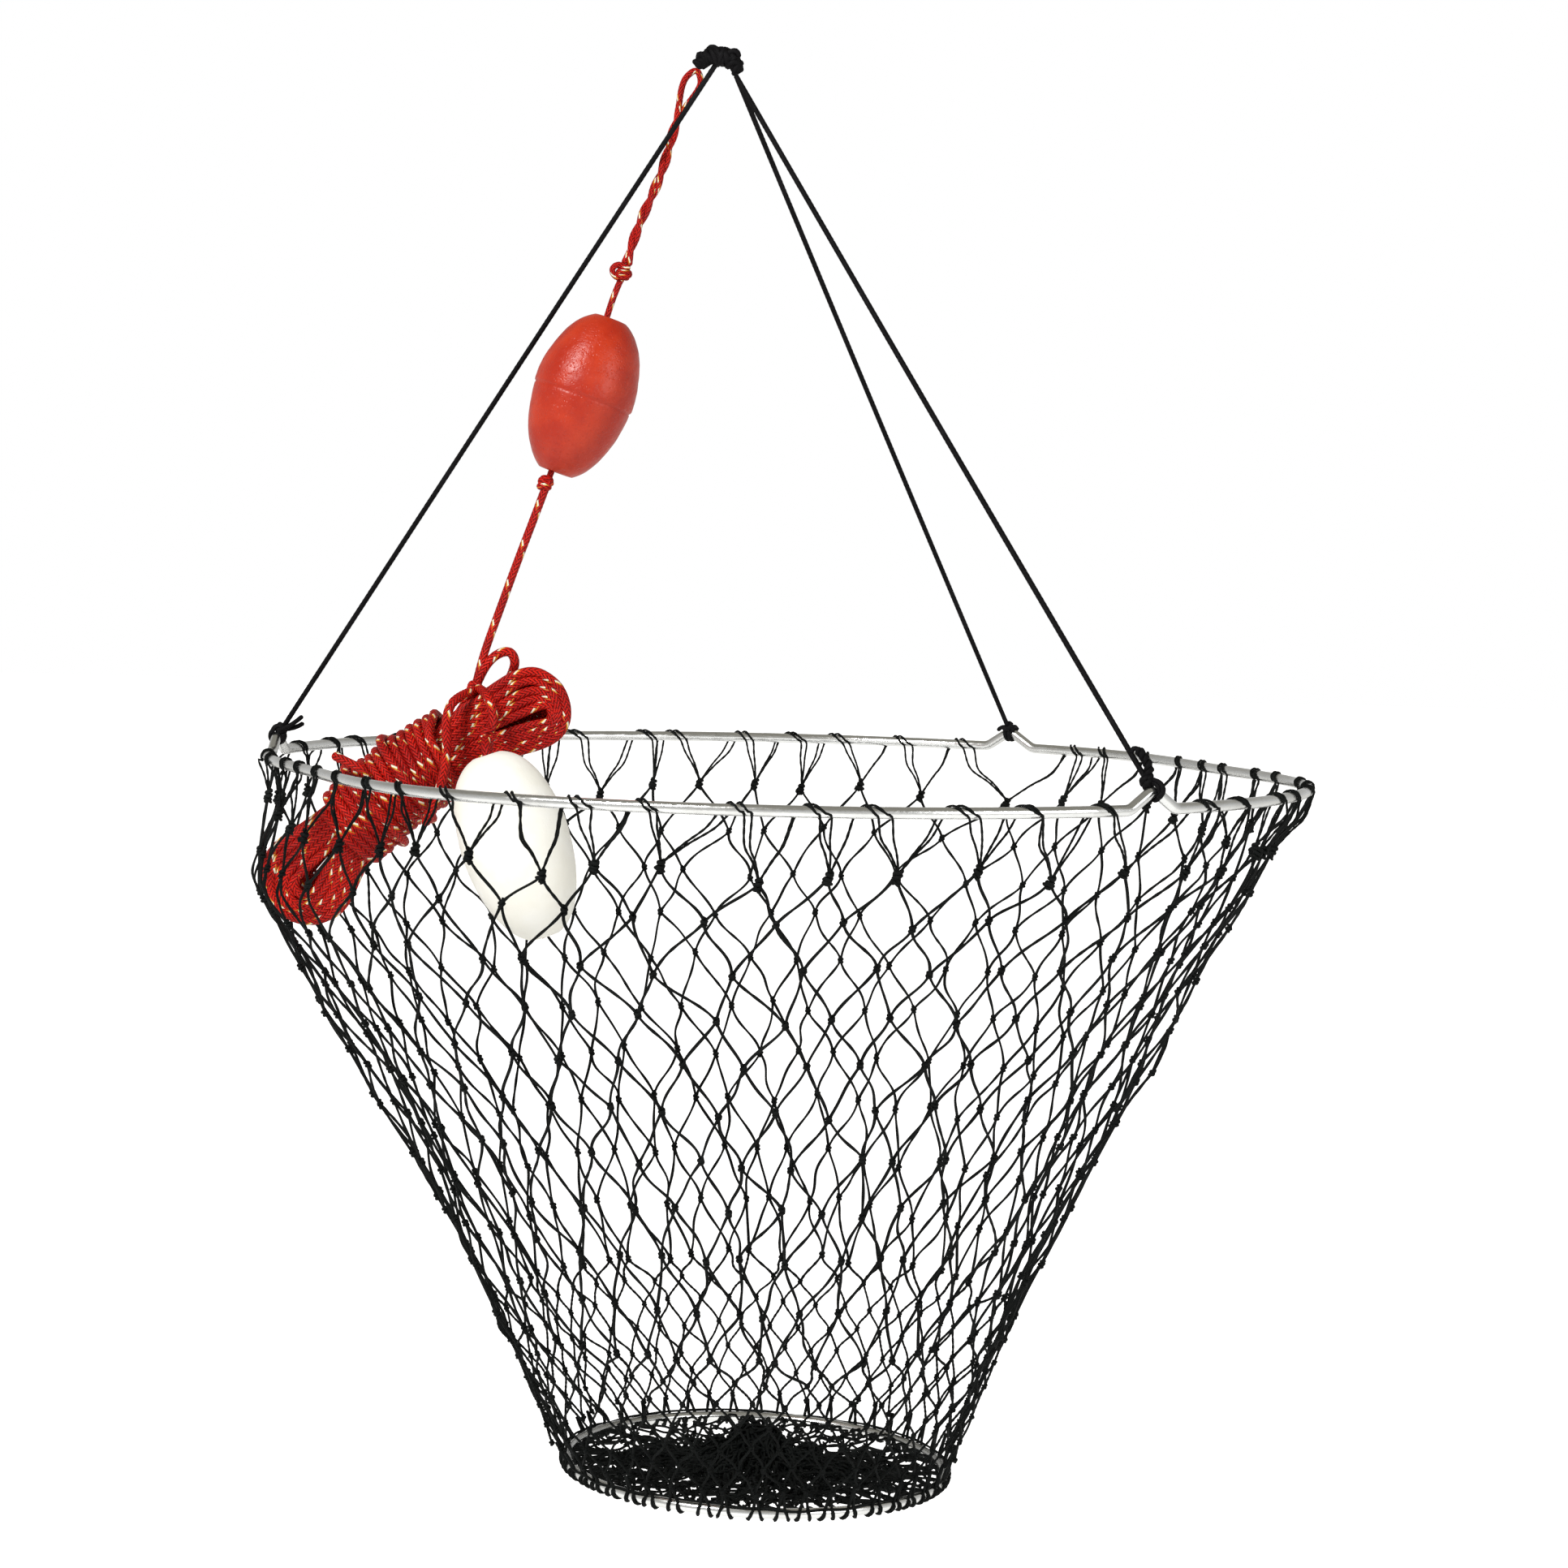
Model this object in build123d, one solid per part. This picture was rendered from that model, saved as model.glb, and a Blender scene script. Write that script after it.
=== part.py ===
"""Two-ring folding crab trap: a net basket on two wire rings, its cord bridle, and a float line stowed as a hank.

Millimetres, +Z up. The origin is the point where a hook holds the bridle's top knot.
Most places are written from the centre of the top ring and moved to the origin by place().
"""

from build123d import *
import math
import os

os.makedirs("parts", exist_ok=True)

# Basket
TOP_RADIUS = 300.0  # centre line of the top ring
BASE_RADIUS = 108.5  # centre line of the base ring
BASKET_DEPTH = 400.0  # between the planes of the two rings
BASE_SHIFT = -4.3  # the base ring hangs this far to the left of the top ring's axis
BASE_TILT = 1.5  # degrees that the base ring's left side is higher
WIRE_RADIUS = 3.0
HANG_HEIGHT = 397.0  # hook point above the plane of the top ring
RING_SHIFT = 44.0  # the hank's weight swings the ring axis this far to the right of the hook
FLATS = [(203.0, 26.0, 23.0), (20.0, 24.0, 20.0)]  # angle, depth and spread of the ring's flat stretches

# Kinks in the top ring that keep the bridle knots in place
KINK_ANGLES = {"left": 170.0, "back": 60.7, "front": -50.9}
KINK_RISE = 9.0
KINK_HALF_WIDTH = 16.0
KINK_LEAD = 6.0
KINK_TOP_BEND = 8.0
KINK_FOOT_BEND = 10.0
ARC_STEPS = 30  # points on the wire's line from kink to kink

# Net: a thin wall that follows the knotted mesh, and the gathered base
WALL = 1.6
WALL_TOP = -5.2
WALL_BOTTOM = -391.4
WALL_SECTIONS = [  # height, radius and sideways shift of the sagging wall
    (WALL_TOP, TOP_RADIUS - 0.5, 0.0),
    (-66.0, 279.4, -15.0),
    (-110.0, 254.0, -16.5),
    (-190.0, 209.0, -12.5),
    (-292.0, 158.5, -9.5),
    (WALL_BOTTOM, 113.6, BASE_SHIFT),
]
WALL_POINTS = 24  # around each section
FLATS_FADE = 60.0  # below the ring, the flats even out over this height
NET_TWINE = 0.9
LOOP_GAP = 0.3
HEAD_LOOPS_PER_SECTOR = {"back": 15, "left": 15, "front": 18}  # by the kink that ends the arc
BASE_LOOPS = 36
BASE_NET_THICKNESS = 2.4
GATHER_RADIUS = 14.0
GATHER_HEIGHT = 24.0

# Bridle
BRIDLE_CORD = 1.5
APEX_CORD = 4.2
APEX_POINTS = [(-14.0, 0.0, -1.5), (-1.0, 0.0, APEX_CORD), (11.5, 0.0, -8.0)]
BRIDLE_STARTS = {"left": (-2.0, 0.0, 0.8), "back": (10.4, 3.0, -8.6), "front": (10.4, -2.6, -9.0)}
KNOT_STEMS = {"left": (7.0, 4.6), "back": (6.0, 4.2), "front": (27.0, 4.4)}  # length and radius
KNOT_COLLAR = 1.9
KNOT_GAP = 0.4

# Float line, measured from the centre of the top ring
ROPE = 2.7
ROPE_IN_BORE = 2.6
LINE_TOP = (-58.0, 14.0, 388.0)
LINE_STOPPER = (-135.5, 5.0, 158.5)
LINE_TIE = (-174.0, 0.0, 41.0)
EYE_KNOT_REACH = 126.5  # stopper knot to eye knot
EYE_SPREAD = 2.5
STOPPER_RADIUS = 6.0
EYE_KNOT_RADIUS = 6.8
BORE = 3.4
BODY_GAP = 0.4

# Floats
EGG_STEPS = 10
EGG_SKEW = 0.05  # how far the fullest part sits above the middle
EGG_BLUNTNESS = 0.86
RED_LENGTH = 97.0
RED_RADIUS = 29.0
RED_START = 4.8  # from the stopper knot's centre
WHITE_TOP = (-163.0, -46.0, 8.0)
WHITE_BOTTOM = (-127.0, -50.0, -94.0)
WHITE_RADIUS = 30.5
WHITE_KNOT_RADIUS = 5.6
WHITE_KNOT_DEPTH = 8.0
WHITE_CORD_START = (-165.0, -27.0, 17.0)

# Hank of stowed rope
HANK_LOW = (-264.5, 0.0, -66.0)  # middle of the lower looped end
HANK_HIGH = (-150.0, 0.0, 31.0)  # middle of the upper looped end
HANK_LOBE = 14.0  # from a looped end's middle to the middle of its bundle of turns
HANK_BUNDLE = 10.8  # radius of that bundle
HANK_CORE_RADIUS = 17.5
WRAP_ENDS = [(-245.0, 0.0, -42.3), (-187.0, 0.0, 2.4)]
WRAP_RADIUS = 24.3
TIE_CENTRE = (-168.0, 0.0, 22.0)
TIE_AXIS = (0.954, 0.0, 0.3)
TIE_RADIUS = 20.5
TIE_KNOT = 6.5


def place(x, y, z):
    """A point given from the centre of the top ring, in the frame whose origin is the hook point."""
    return Vector(x + RING_SHIFT, y, z - HANG_HEIGHT)


def flattening(angle):
    """How far the top ring is pressed in at an angle in degrees."""
    total = 0.0
    for middle, depth, spread in FLATS:
        away = (angle - middle + 180) % 360 - 180
        total += depth * math.exp(-((away / spread) ** 2))
    return total


def on_ring(angle, z=0.0):
    """A point on the top ring, by its angle in degrees."""
    turn = math.radians(angle)
    radius = TOP_RADIUS - flattening(angle)
    return place(radius * math.cos(turn), radius * math.sin(turn), z)


def tangent(angle):
    """The direction of the top ring at an angle in degrees."""
    return (on_ring(angle + 0.5) - on_ring(angle - 0.5)).normalized()


def rod(start, end, radius):
    """A round bar from one point to another."""
    start, end = Vector(start), Vector(end)
    base = Plane(origin=start, z_dir=end - start)
    return extrude(base * Circle(radius), amount=(end - start).length)


def ball(centre, radius):
    return Pos(*Vector(centre)) * Sphere(radius)


def capsule(start, end, radius):
    return rod(start, end, radius) + ball(start, radius) + ball(end, radius)


def collar(centre, axis, major, minor):
    """A ring of round section about an axis."""
    return Plane(origin=Vector(centre), z_dir=Vector(axis)) * Torus(major, minor)


def save(shape, name):
    solids = shape.solids() if hasattr(shape, "solids") else shape
    body = solids[0] if len(solids) == 1 else Compound(children=list(solids))
    body.label = name
    export_step(body, f"parts/{name}.step")


def kink_slope():
    return math.atan2(KINK_RISE, KINK_HALF_WIDTH)


def kink_corners(angle):
    """Corners of the wire's path through one kink, from the flat arc before it to the one after it."""
    overshoot = KINK_TOP_BEND * (1 / math.cos(kink_slope()) - 1)
    half = math.degrees(KINK_HALF_WIDTH / TOP_RADIUS)
    lead = math.degrees(KINK_LEAD / TOP_RADIUS)
    before, after = angle - half - lead, angle + half + lead
    enter = on_ring(before)
    leave = on_ring(after)
    top = on_ring(angle, z=KINK_RISE + overshoot)
    return [
        enter,
        enter + tangent(before) * KINK_LEAD,
        top,
        leave - tangent(after) * KINK_LEAD,
        leave,
    ], before, after


def ring_arc(start, end):
    """The line of the wire between two kinks, from one angle in degrees to the other."""
    angles = [start + (end - start) * step / ARC_STEPS for step in range(ARC_STEPS + 1)]
    return Spline(*[on_ring(angle) for angle in angles], tangents=[tangent(start), tangent(end)])


def top_ring():
    """The wire ring: level arcs joined by three raised kinks, as one swept wire."""
    angles = sorted(KINK_ANGLES.values())
    edges = []
    for index, angle in enumerate(angles):
        corners, _, after = kink_corners(angle)
        bends = [KINK_FOOT_BEND, KINK_TOP_BEND, KINK_FOOT_BEND]
        edges += FilletPolyline(*corners, radius=bends).edges()
        following = angles[(index + 1) % len(angles)] + (360 if index + 1 == len(angles) else 0)
        _, before, _ = kink_corners(following)
        edges += ring_arc(after, before).edges()
    path = Wire(edges)
    section = Plane(origin=path @ 0, z_dir=path % 0) * Circle(WIRE_RADIUS)
    return sweep(section, path=path)


def base_frame():
    """The frame of the base ring, with Z along its axis."""
    tilt = math.radians(BASE_TILT)
    return Plane(
        origin=place(BASE_SHIFT, 0, -BASKET_DEPTH),
        x_dir=(math.cos(tilt), 0, -math.sin(tilt)),
        z_dir=(math.sin(tilt), 0, math.cos(tilt)),
    )


def base_ring():
    return base_frame() * Torus(BASE_RADIUS, WIRE_RADIUS)


def wall_section(height, radius, shift, inset):
    """The outline of the wall at one height, with the ring's flats near the top."""
    fade = max(0.0, 1 - (WALL_TOP - height) / FLATS_FADE)
    points = []
    for step in range(WALL_POINTS):
        angle = 360 * step / WALL_POINTS
        reach = radius - inset - flattening(angle) * fade
        points.append(place(
            shift + reach * math.cos(math.radians(angle)), reach * math.sin(math.radians(angle)), height
        ))
    return make_face(Spline(*points, periodic=True))


def wall_loft(inset):
    return loft([wall_section(*section, inset) for section in WALL_SECTIONS])


def net_wall():
    """The basket's wall: a thin sagging funnel between the rings, open at both ends."""
    return wall_loft(0) - wall_loft(WALL)


def net_base():
    """The gathered net across the base ring, inside the loops that lace it on."""
    radius = BASE_RADIUS - WIRE_RADIUS - 2 * NET_TWINE - 2 * LOOP_GAP
    return base_frame() * Cylinder(radius, BASE_NET_THICKNESS)


def gather_knot():
    """The drawn-up tuft at the middle of the base."""
    foot = Pos(0, 0, BASE_NET_THICKNESS / 2)
    cone = Cone(
        GATHER_RADIUS, GATHER_RADIUS * 0.6, GATHER_HEIGHT, align=(Align.CENTER, Align.CENTER, Align.MIN)
    )
    crown = Pos(0, 0, GATHER_HEIGHT) * Sphere(GATHER_RADIUS * 0.62)
    return base_frame() * foot * (cone + crown)


def loop_major():
    return WIRE_RADIUS + LOOP_GAP + NET_TWINE


def head_loops():
    """The twine hitches that hang the net on the top ring, spread along each flat arc."""
    angles = sorted(KINK_ANGLES.items(), key=lambda item: item[1])
    loops = []
    for index, (_, angle) in enumerate(angles):
        name, following = angles[(index + 1) % len(angles)]
        if index + 1 == len(angles):
            following += 360
        _, _, start = kink_corners(angle)
        _, end, _ = kink_corners(following)
        count = HEAD_LOOPS_PER_SECTOR[name]
        for step in range(count):
            at = start + (end - start) * (step + 0.5) / count
            loops.append(collar(on_ring(at), tangent(at), loop_major(), NET_TWINE))
    return ShapeList([loop.solid() for loop in loops])


def base_lacing():
    """The twine turns that lace the net to the base ring."""
    loops = []
    for step in range(BASE_LOOPS):
        turn = 2 * math.pi * step / BASE_LOOPS
        spot = (BASE_RADIUS * math.cos(turn), BASE_RADIUS * math.sin(turn), 0)
        along = (-math.sin(turn), math.cos(turn), 0)
        loops.append(base_frame() * collar(spot, along, loop_major(), NET_TWINE))
    return ShapeList([loop.solid() for loop in loops])


def apex_knot():
    """The knotted bight at the top of the bridle, which the hook holds."""
    path = ThreePointArc(*APEX_POINTS)
    arch = sweep(Plane(origin=path @ 0, z_dir=path % 0) * Circle(APEX_CORD), path=path)
    return arch + ball(APEX_POINTS[0], APEX_CORD + 0.6) + ball(APEX_POINTS[2], APEX_CORD + 0.4)


def kink_top(side):
    return on_ring(KINK_ANGLES[side], z=KINK_RISE)


def bridle_way(side):
    """Unit direction from a kink up its bridle line."""
    return (Vector(*BRIDLE_STARTS[side]) - kink_top(side)).normalized()


def bridle_knot(side):
    """The knot that ties a bridle line on its kink: a turn round the wire and a stem up the line."""
    length, radius = KNOT_STEMS[side]
    top, way = kink_top(side), bridle_way(side)
    first = top + way * (WIRE_RADIUS + radius + LOOP_GAP + 0.2)
    turn = collar(top, tangent(KINK_ANGLES[side]), WIRE_RADIUS + KNOT_COLLAR + 0.4, KNOT_COLLAR)
    return turn + capsule(first, first + way * length, radius)


def knot_reach(side):
    length, radius = KNOT_STEMS[side]
    return WIRE_RADIUS + LOOP_GAP + 0.2 + 2 * radius + length


def bridle_line(side):
    """One taut bridle cord, from inside the top knot to just clear of its ring knot."""
    end = kink_top(side) + bridle_way(side) * (knot_reach(side) + KNOT_GAP)
    return rod(BRIDLE_STARTS[side], end, BRIDLE_CORD)


LINE_UP = (place(*LINE_TOP) - place(*LINE_STOPPER)).normalized()


def on_line(distance):
    """A point on the upper float line, by its distance from the stopper knot."""
    return place(*LINE_STOPPER) + LINE_UP * distance


def egg(length, radius, bore):
    """A float turned from foam, standing on its lower end: fullest a little above the middle."""
    points = []
    for step in range(EGG_STEPS + 1):
        turn = math.pi * step / EGG_STEPS
        swell = 1 - EGG_SKEW * math.cos(turn)
        points.append((radius * math.sin(turn) ** EGG_BLUNTNESS * swell, length * (1 - math.cos(turn)) / 2))
    outline = Spline(*points[1:-1])
    first, last = points[1], points[-2]
    closing = Polyline(last, (0, length), (0, 0), first)
    solid = revolve(Plane.XZ * make_face([*outline.edges(), *closing.edges()]), Axis.Z)
    return solid - Cylinder(bore, 3 * length)


def float_frame(bottom, top):
    """A frame at a float's lower end with Z along the float."""
    return Plane(origin=Vector(bottom), z_dir=Vector(top) - Vector(bottom))


def red_float():
    return float_frame(on_line(RED_START), on_line(RED_START + RED_LENGTH)) * egg(RED_LENGTH, RED_RADIUS, BORE)


def white_length():
    return (place(*WHITE_TOP) - place(*WHITE_BOTTOM)).length


def white_float():
    """The white float, with a pocket in its lower end for the stopper knot."""
    pocket = Cylinder(
        WHITE_KNOT_RADIUS + BODY_GAP, WHITE_KNOT_DEPTH * 2, align=(Align.CENTER, Align.CENTER, Align.CENTER)
    )
    body = egg(white_length(), WHITE_RADIUS, BORE) - pocket
    return float_frame(place(*WHITE_BOTTOM), place(*WHITE_TOP)) * body


def white_float_cord():
    """Cord from the hank's tie over to the float and down its bore to the stopper knot."""
    bottom, top = place(*WHITE_BOTTOM), place(*WHITE_TOP)
    way = (top - bottom).normalized()
    tie = place(*WHITE_CORD_START)
    above = top + way * 7.0
    leave = tie + (above - tie).normalized() * (TIE_KNOT + BODY_GAP)
    corners = [bottom + way * (WHITE_KNOT_DEPTH - 2.0), above, leave]
    path = FilletPolyline(*corners, radius=5.0)
    return sweep(Plane(origin=path @ 0, z_dir=path % 0) * Circle(ROPE_IN_BORE), path=path)


def white_float_knot():
    bottom, top = place(*WHITE_BOTTOM), place(*WHITE_TOP)
    way = (top - bottom).normalized()
    return ball(bottom + way * (WHITE_KNOT_DEPTH - 2.0 - WHITE_KNOT_RADIUS), WHITE_KNOT_RADIUS)


def float_line_upper():
    """The rope from the stopper knot through the red float to the eye knot."""
    return rod(on_line(STOPPER_RADIUS), on_line(EYE_KNOT_REACH - EYE_KNOT_RADIUS), ROPE_IN_BORE)


def float_line_eye():
    """The doubled rope from the eye knot up to the bridle's top knot."""
    reach = (place(*LINE_TOP) - place(*LINE_STOPPER)).length
    side = LINE_UP.cross(Vector(0, 1, 0)).normalized() * EYE_SPREAD
    start = on_line(EYE_KNOT_REACH + EYE_KNOT_RADIUS - 0.8)
    end = on_line(reach)
    return rod(start + side, end + side, ROPE) + rod(start - side, end - side, ROPE)


def float_line_lower():
    """The taut rope from the hank's tie up to the stopper knot."""
    tie, stopper = place(*LINE_TIE), place(*LINE_STOPPER)
    way = (stopper - tie).normalized()
    return rod(tie + way * (TIE_KNOT + 0.05), stopper - way * (STOPPER_RADIUS + BODY_GAP), ROPE)


def rope_hank():
    """The outer shape of the stowed rope: two looped ends, each with its eye, and the bundle between."""
    low, high = place(*HANK_LOW), place(*HANK_HIGH)
    way = (high - low).normalized() * HANK_LOBE
    ends = collar(low, (0, 1, 0), HANK_LOBE, HANK_BUNDLE) + collar(high, (0, 1, 0), HANK_LOBE, HANK_BUNDLE)
    return ends + rod(low + way, high - way, HANK_CORE_RADIUS)


def hank_wrap():
    """The outer shape of the turns wound round the middle of the hank."""
    start, end = place(*WRAP_ENDS[0]), place(*WRAP_ENDS[1])
    return rod(start, end, WRAP_RADIUS) - rope_hank()


def hank_tie():
    """The turn round the hank that the float line is made fast to, with its two knots."""
    turn = collar(place(*TIE_CENTRE), TIE_AXIS, TIE_RADIUS, ROPE)
    return turn + ball(place(*LINE_TIE), TIE_KNOT) + ball(place(*WHITE_CORD_START), TIE_KNOT)


def stopper_knot():
    return ball(place(*LINE_STOPPER), STOPPER_RADIUS)


def eye_knot():
    return ball(on_line(EYE_KNOT_REACH), EYE_KNOT_RADIUS)


NODES = {
    "apex_knot": apex_knot,
    "top_ring": top_ring,
    "base_ring": base_ring,
    "net_wall": net_wall,
    "net_base": net_base,
    "gather_knot": gather_knot,
    "head_loops": head_loops,
    "base_lacing": base_lacing,
    "red_float": red_float,
    "white_float": white_float,
    "white_float_cord": white_float_cord,
    "white_float_knot": white_float_knot,
    "float_line_upper": float_line_upper,
    "float_line_eye": float_line_eye,
    "float_line_lower": float_line_lower,
    "rope_hank": rope_hank,
    "hank_wrap": hank_wrap,
    "hank_tie": hank_tie,
    "stopper_knot": stopper_knot,
    "eye_knot": eye_knot,
}

for node_name, make in NODES.items():
    save(make(), node_name)

for side_name in KINK_ANGLES:
    save(bridle_knot(side_name), f"bridle_knot_{side_name}")
    save(bridle_line(side_name), f"bridle_line_{side_name}")
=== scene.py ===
"""The looks of a two-ring folding crab trap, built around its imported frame.

The row frame is in metres, +Z up, with its origin where a hook holds the top knot. Shapes here are
worked out in millimetres from the centre of the top ring, and put() moves them into the row frame.
"""

import random
from math import cos, degrees, exp, pi, radians, sin, sqrt

import bpy
import numpy as np
from mathutils import Matrix, Vector, noise


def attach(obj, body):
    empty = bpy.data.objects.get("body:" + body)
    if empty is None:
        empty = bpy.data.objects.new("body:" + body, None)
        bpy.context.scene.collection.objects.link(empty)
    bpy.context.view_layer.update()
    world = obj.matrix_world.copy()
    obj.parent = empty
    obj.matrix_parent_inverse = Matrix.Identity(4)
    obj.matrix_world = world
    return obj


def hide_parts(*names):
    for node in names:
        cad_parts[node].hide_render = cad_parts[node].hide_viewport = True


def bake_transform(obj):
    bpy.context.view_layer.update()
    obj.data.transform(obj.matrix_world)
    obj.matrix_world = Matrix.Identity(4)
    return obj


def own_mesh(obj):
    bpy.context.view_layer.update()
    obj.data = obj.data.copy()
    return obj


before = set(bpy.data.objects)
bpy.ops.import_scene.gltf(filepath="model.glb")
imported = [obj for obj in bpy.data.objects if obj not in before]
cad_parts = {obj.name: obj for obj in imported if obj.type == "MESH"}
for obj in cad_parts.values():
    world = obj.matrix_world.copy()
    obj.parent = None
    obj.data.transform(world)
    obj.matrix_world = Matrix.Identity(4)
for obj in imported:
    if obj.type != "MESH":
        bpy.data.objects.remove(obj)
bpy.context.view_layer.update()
random.seed(7)

MM = 0.001
UP = np.array([0.0, 0.0, 1.0])
BACK = np.array([0.0, 1.0, 0.0])
RING_CENTRE = np.array([0.044, 0.0, -0.397])
WIRE = 3.0  # radius of the ring wire
TOP_RADIUS = 300.0
FLATS = ((203.0, 26.0, 23.0), (20.0, 24.0, 20.0))  # angle, depth and spread of the ring's flat stretches
BASE_RADIUS = 108.5
BASE_SHIFT = -4.3
BASE_LEVEL = -400.0
BASE_TILT = radians(1.5)  # its left side is higher


def put(points):
    """Points in millimetres from the ring's centre, in the row frame."""
    return np.asarray(points, float) * MM + RING_CENTRE


def from_row(points):
    """Points given in the row frame in millimetres, measured from the ring's centre."""
    return np.asarray(points, float) - RING_CENTRE / MM


def unit(vector):
    vector = np.asarray(vector, float)
    return vector / np.linalg.norm(vector)


def smooth(value):
    value = min(max(value, 0.0), 1.0)
    return value * value * (3 - 2 * value)


def flattening(turn):
    """How far the top ring is pressed in at an angle."""
    total = 0.0
    for middle, depth, spread in FLATS:
        away = (degrees(turn) - middle + 180) % 360 - 180
        total += depth * exp(-((away / spread) ** 2))
    return total


def on_top(turn, out, rise):
    """A point by the top ring's centre line: how far outside it and how far above it."""
    radius = TOP_RADIUS - flattening(turn) + out
    return np.array([radius * cos(turn), radius * sin(turn), rise])


def on_base(turn, radius, rise):
    """A point by the plane of the base ring, which tips a little."""
    across = radius * cos(turn)
    return np.array([
        across * cos(BASE_TILT) + rise * sin(BASE_TILT) + BASE_SHIFT,
        radius * sin(turn),
        rise * cos(BASE_TILT) - across * sin(BASE_TILT) + BASE_LEVEL,
    ])


def on_foot(turn, out, rise):
    """A point by the base ring's centre line."""
    return on_base(turn, BASE_RADIUS + out, rise)


def add_object(name, data):
    piece = bpy.data.objects.new(name, data)
    bpy.context.scene.collection.objects.link(piece)
    return piece


def mesh_object(name, points, faces, material):
    """A smooth mesh whose points are in millimetres from the ring's centre."""
    mesh = bpy.data.meshes.new(name)
    mesh.from_pydata(put(points).tolist(), [], faces)
    mesh.shade_smooth()
    mesh.materials.append(material)
    return add_object(name, mesh)


# ---- strands


def joined(rings, sides, first=0):
    """The quads between rings of points that follow one another from a first index on."""
    index = first + np.arange(rings * sides).reshape(rings, sides)
    beside = np.roll(index, -1, axis=1)
    return np.stack([index[:-1], beside[:-1], beside[1:], index[1:]], axis=2).reshape(-1, 4).tolist()


def arc_lengths(path):
    return np.concatenate([[0.0], np.cumsum(np.linalg.norm(np.diff(path, axis=0), axis=1))])


def directions(path):
    """The direction of a line at each of its points."""
    ways = np.gradient(path, axis=0)
    return ways / np.linalg.norm(ways, axis=1)[:, None]


def round_about(side, front, turn, reach=1.0):
    """The step from a circle's centre to its rim, by the turn from one direction towards the other."""
    return side * (reach * cos(turn)) + front * (reach * sin(turn))


def wound(line, across, ahead, reach, phase):
    """A line wound about another one, by its reach and its phase at each point."""
    return line + across * (reach * np.cos(phase))[:, None] + ahead * (reach * np.sin(phase))[:, None]


def square_to(way, hint):
    """Two directions square to a way and to each other."""
    side = unit(np.cross(way, hint))
    return side, np.cross(way, side)


def even(path, step):
    """The same line with its points a step apart."""
    along = arc_lengths(path)
    marks = np.linspace(0, along[-1], max(3, int(round(along[-1] / step)) + 1))
    return np.stack([np.interp(marks, along, path[:, axis]) for axis in range(3)], axis=1)


def curved(points, samples=6):
    """A smooth line through points (Catmull-Rom)."""
    pts = np.asarray(points, float)
    pts = np.vstack([2 * pts[0] - pts[1], pts, 2 * pts[-1] - pts[-2]])
    out = []
    for i in range(1, len(pts) - 2):
        a, b, c, d = pts[i - 1], pts[i], pts[i + 1], pts[i + 2]
        for t in np.linspace(0, 1, samples, endpoint=False):
            bend = (2 * a - 5 * b + 4 * c - d) * t**2 + (3 * b - a - 3 * c + d) * t**3
            out.append(0.5 * (2 * b + (c - a) * t + bend))
    out.append(pts[-2])
    return np.array(out)


def spline_line(route, resolution=10):
    """The line of a NURBS spline whose control points are the route's points."""
    curve = bpy.data.curves.new("route", "CURVE")
    curve.dimensions = "3D"
    curve.resolution_u = resolution
    spline = curve.splines.new("NURBS")
    spline.points.add(len(route) - 1)
    for knot, point in zip(spline.points, route):
        knot.co = (*point, 1.0)
    spline.order_u = 3
    spline.use_endpoint_u = True
    holder = add_object("route", curve)
    mesh = bpy.data.meshes.new_from_object(holder)
    line = np.array([v.co for v in mesh.vertices])
    bpy.data.objects.remove(holder)
    bpy.data.meshes.remove(mesh)
    return line


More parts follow.
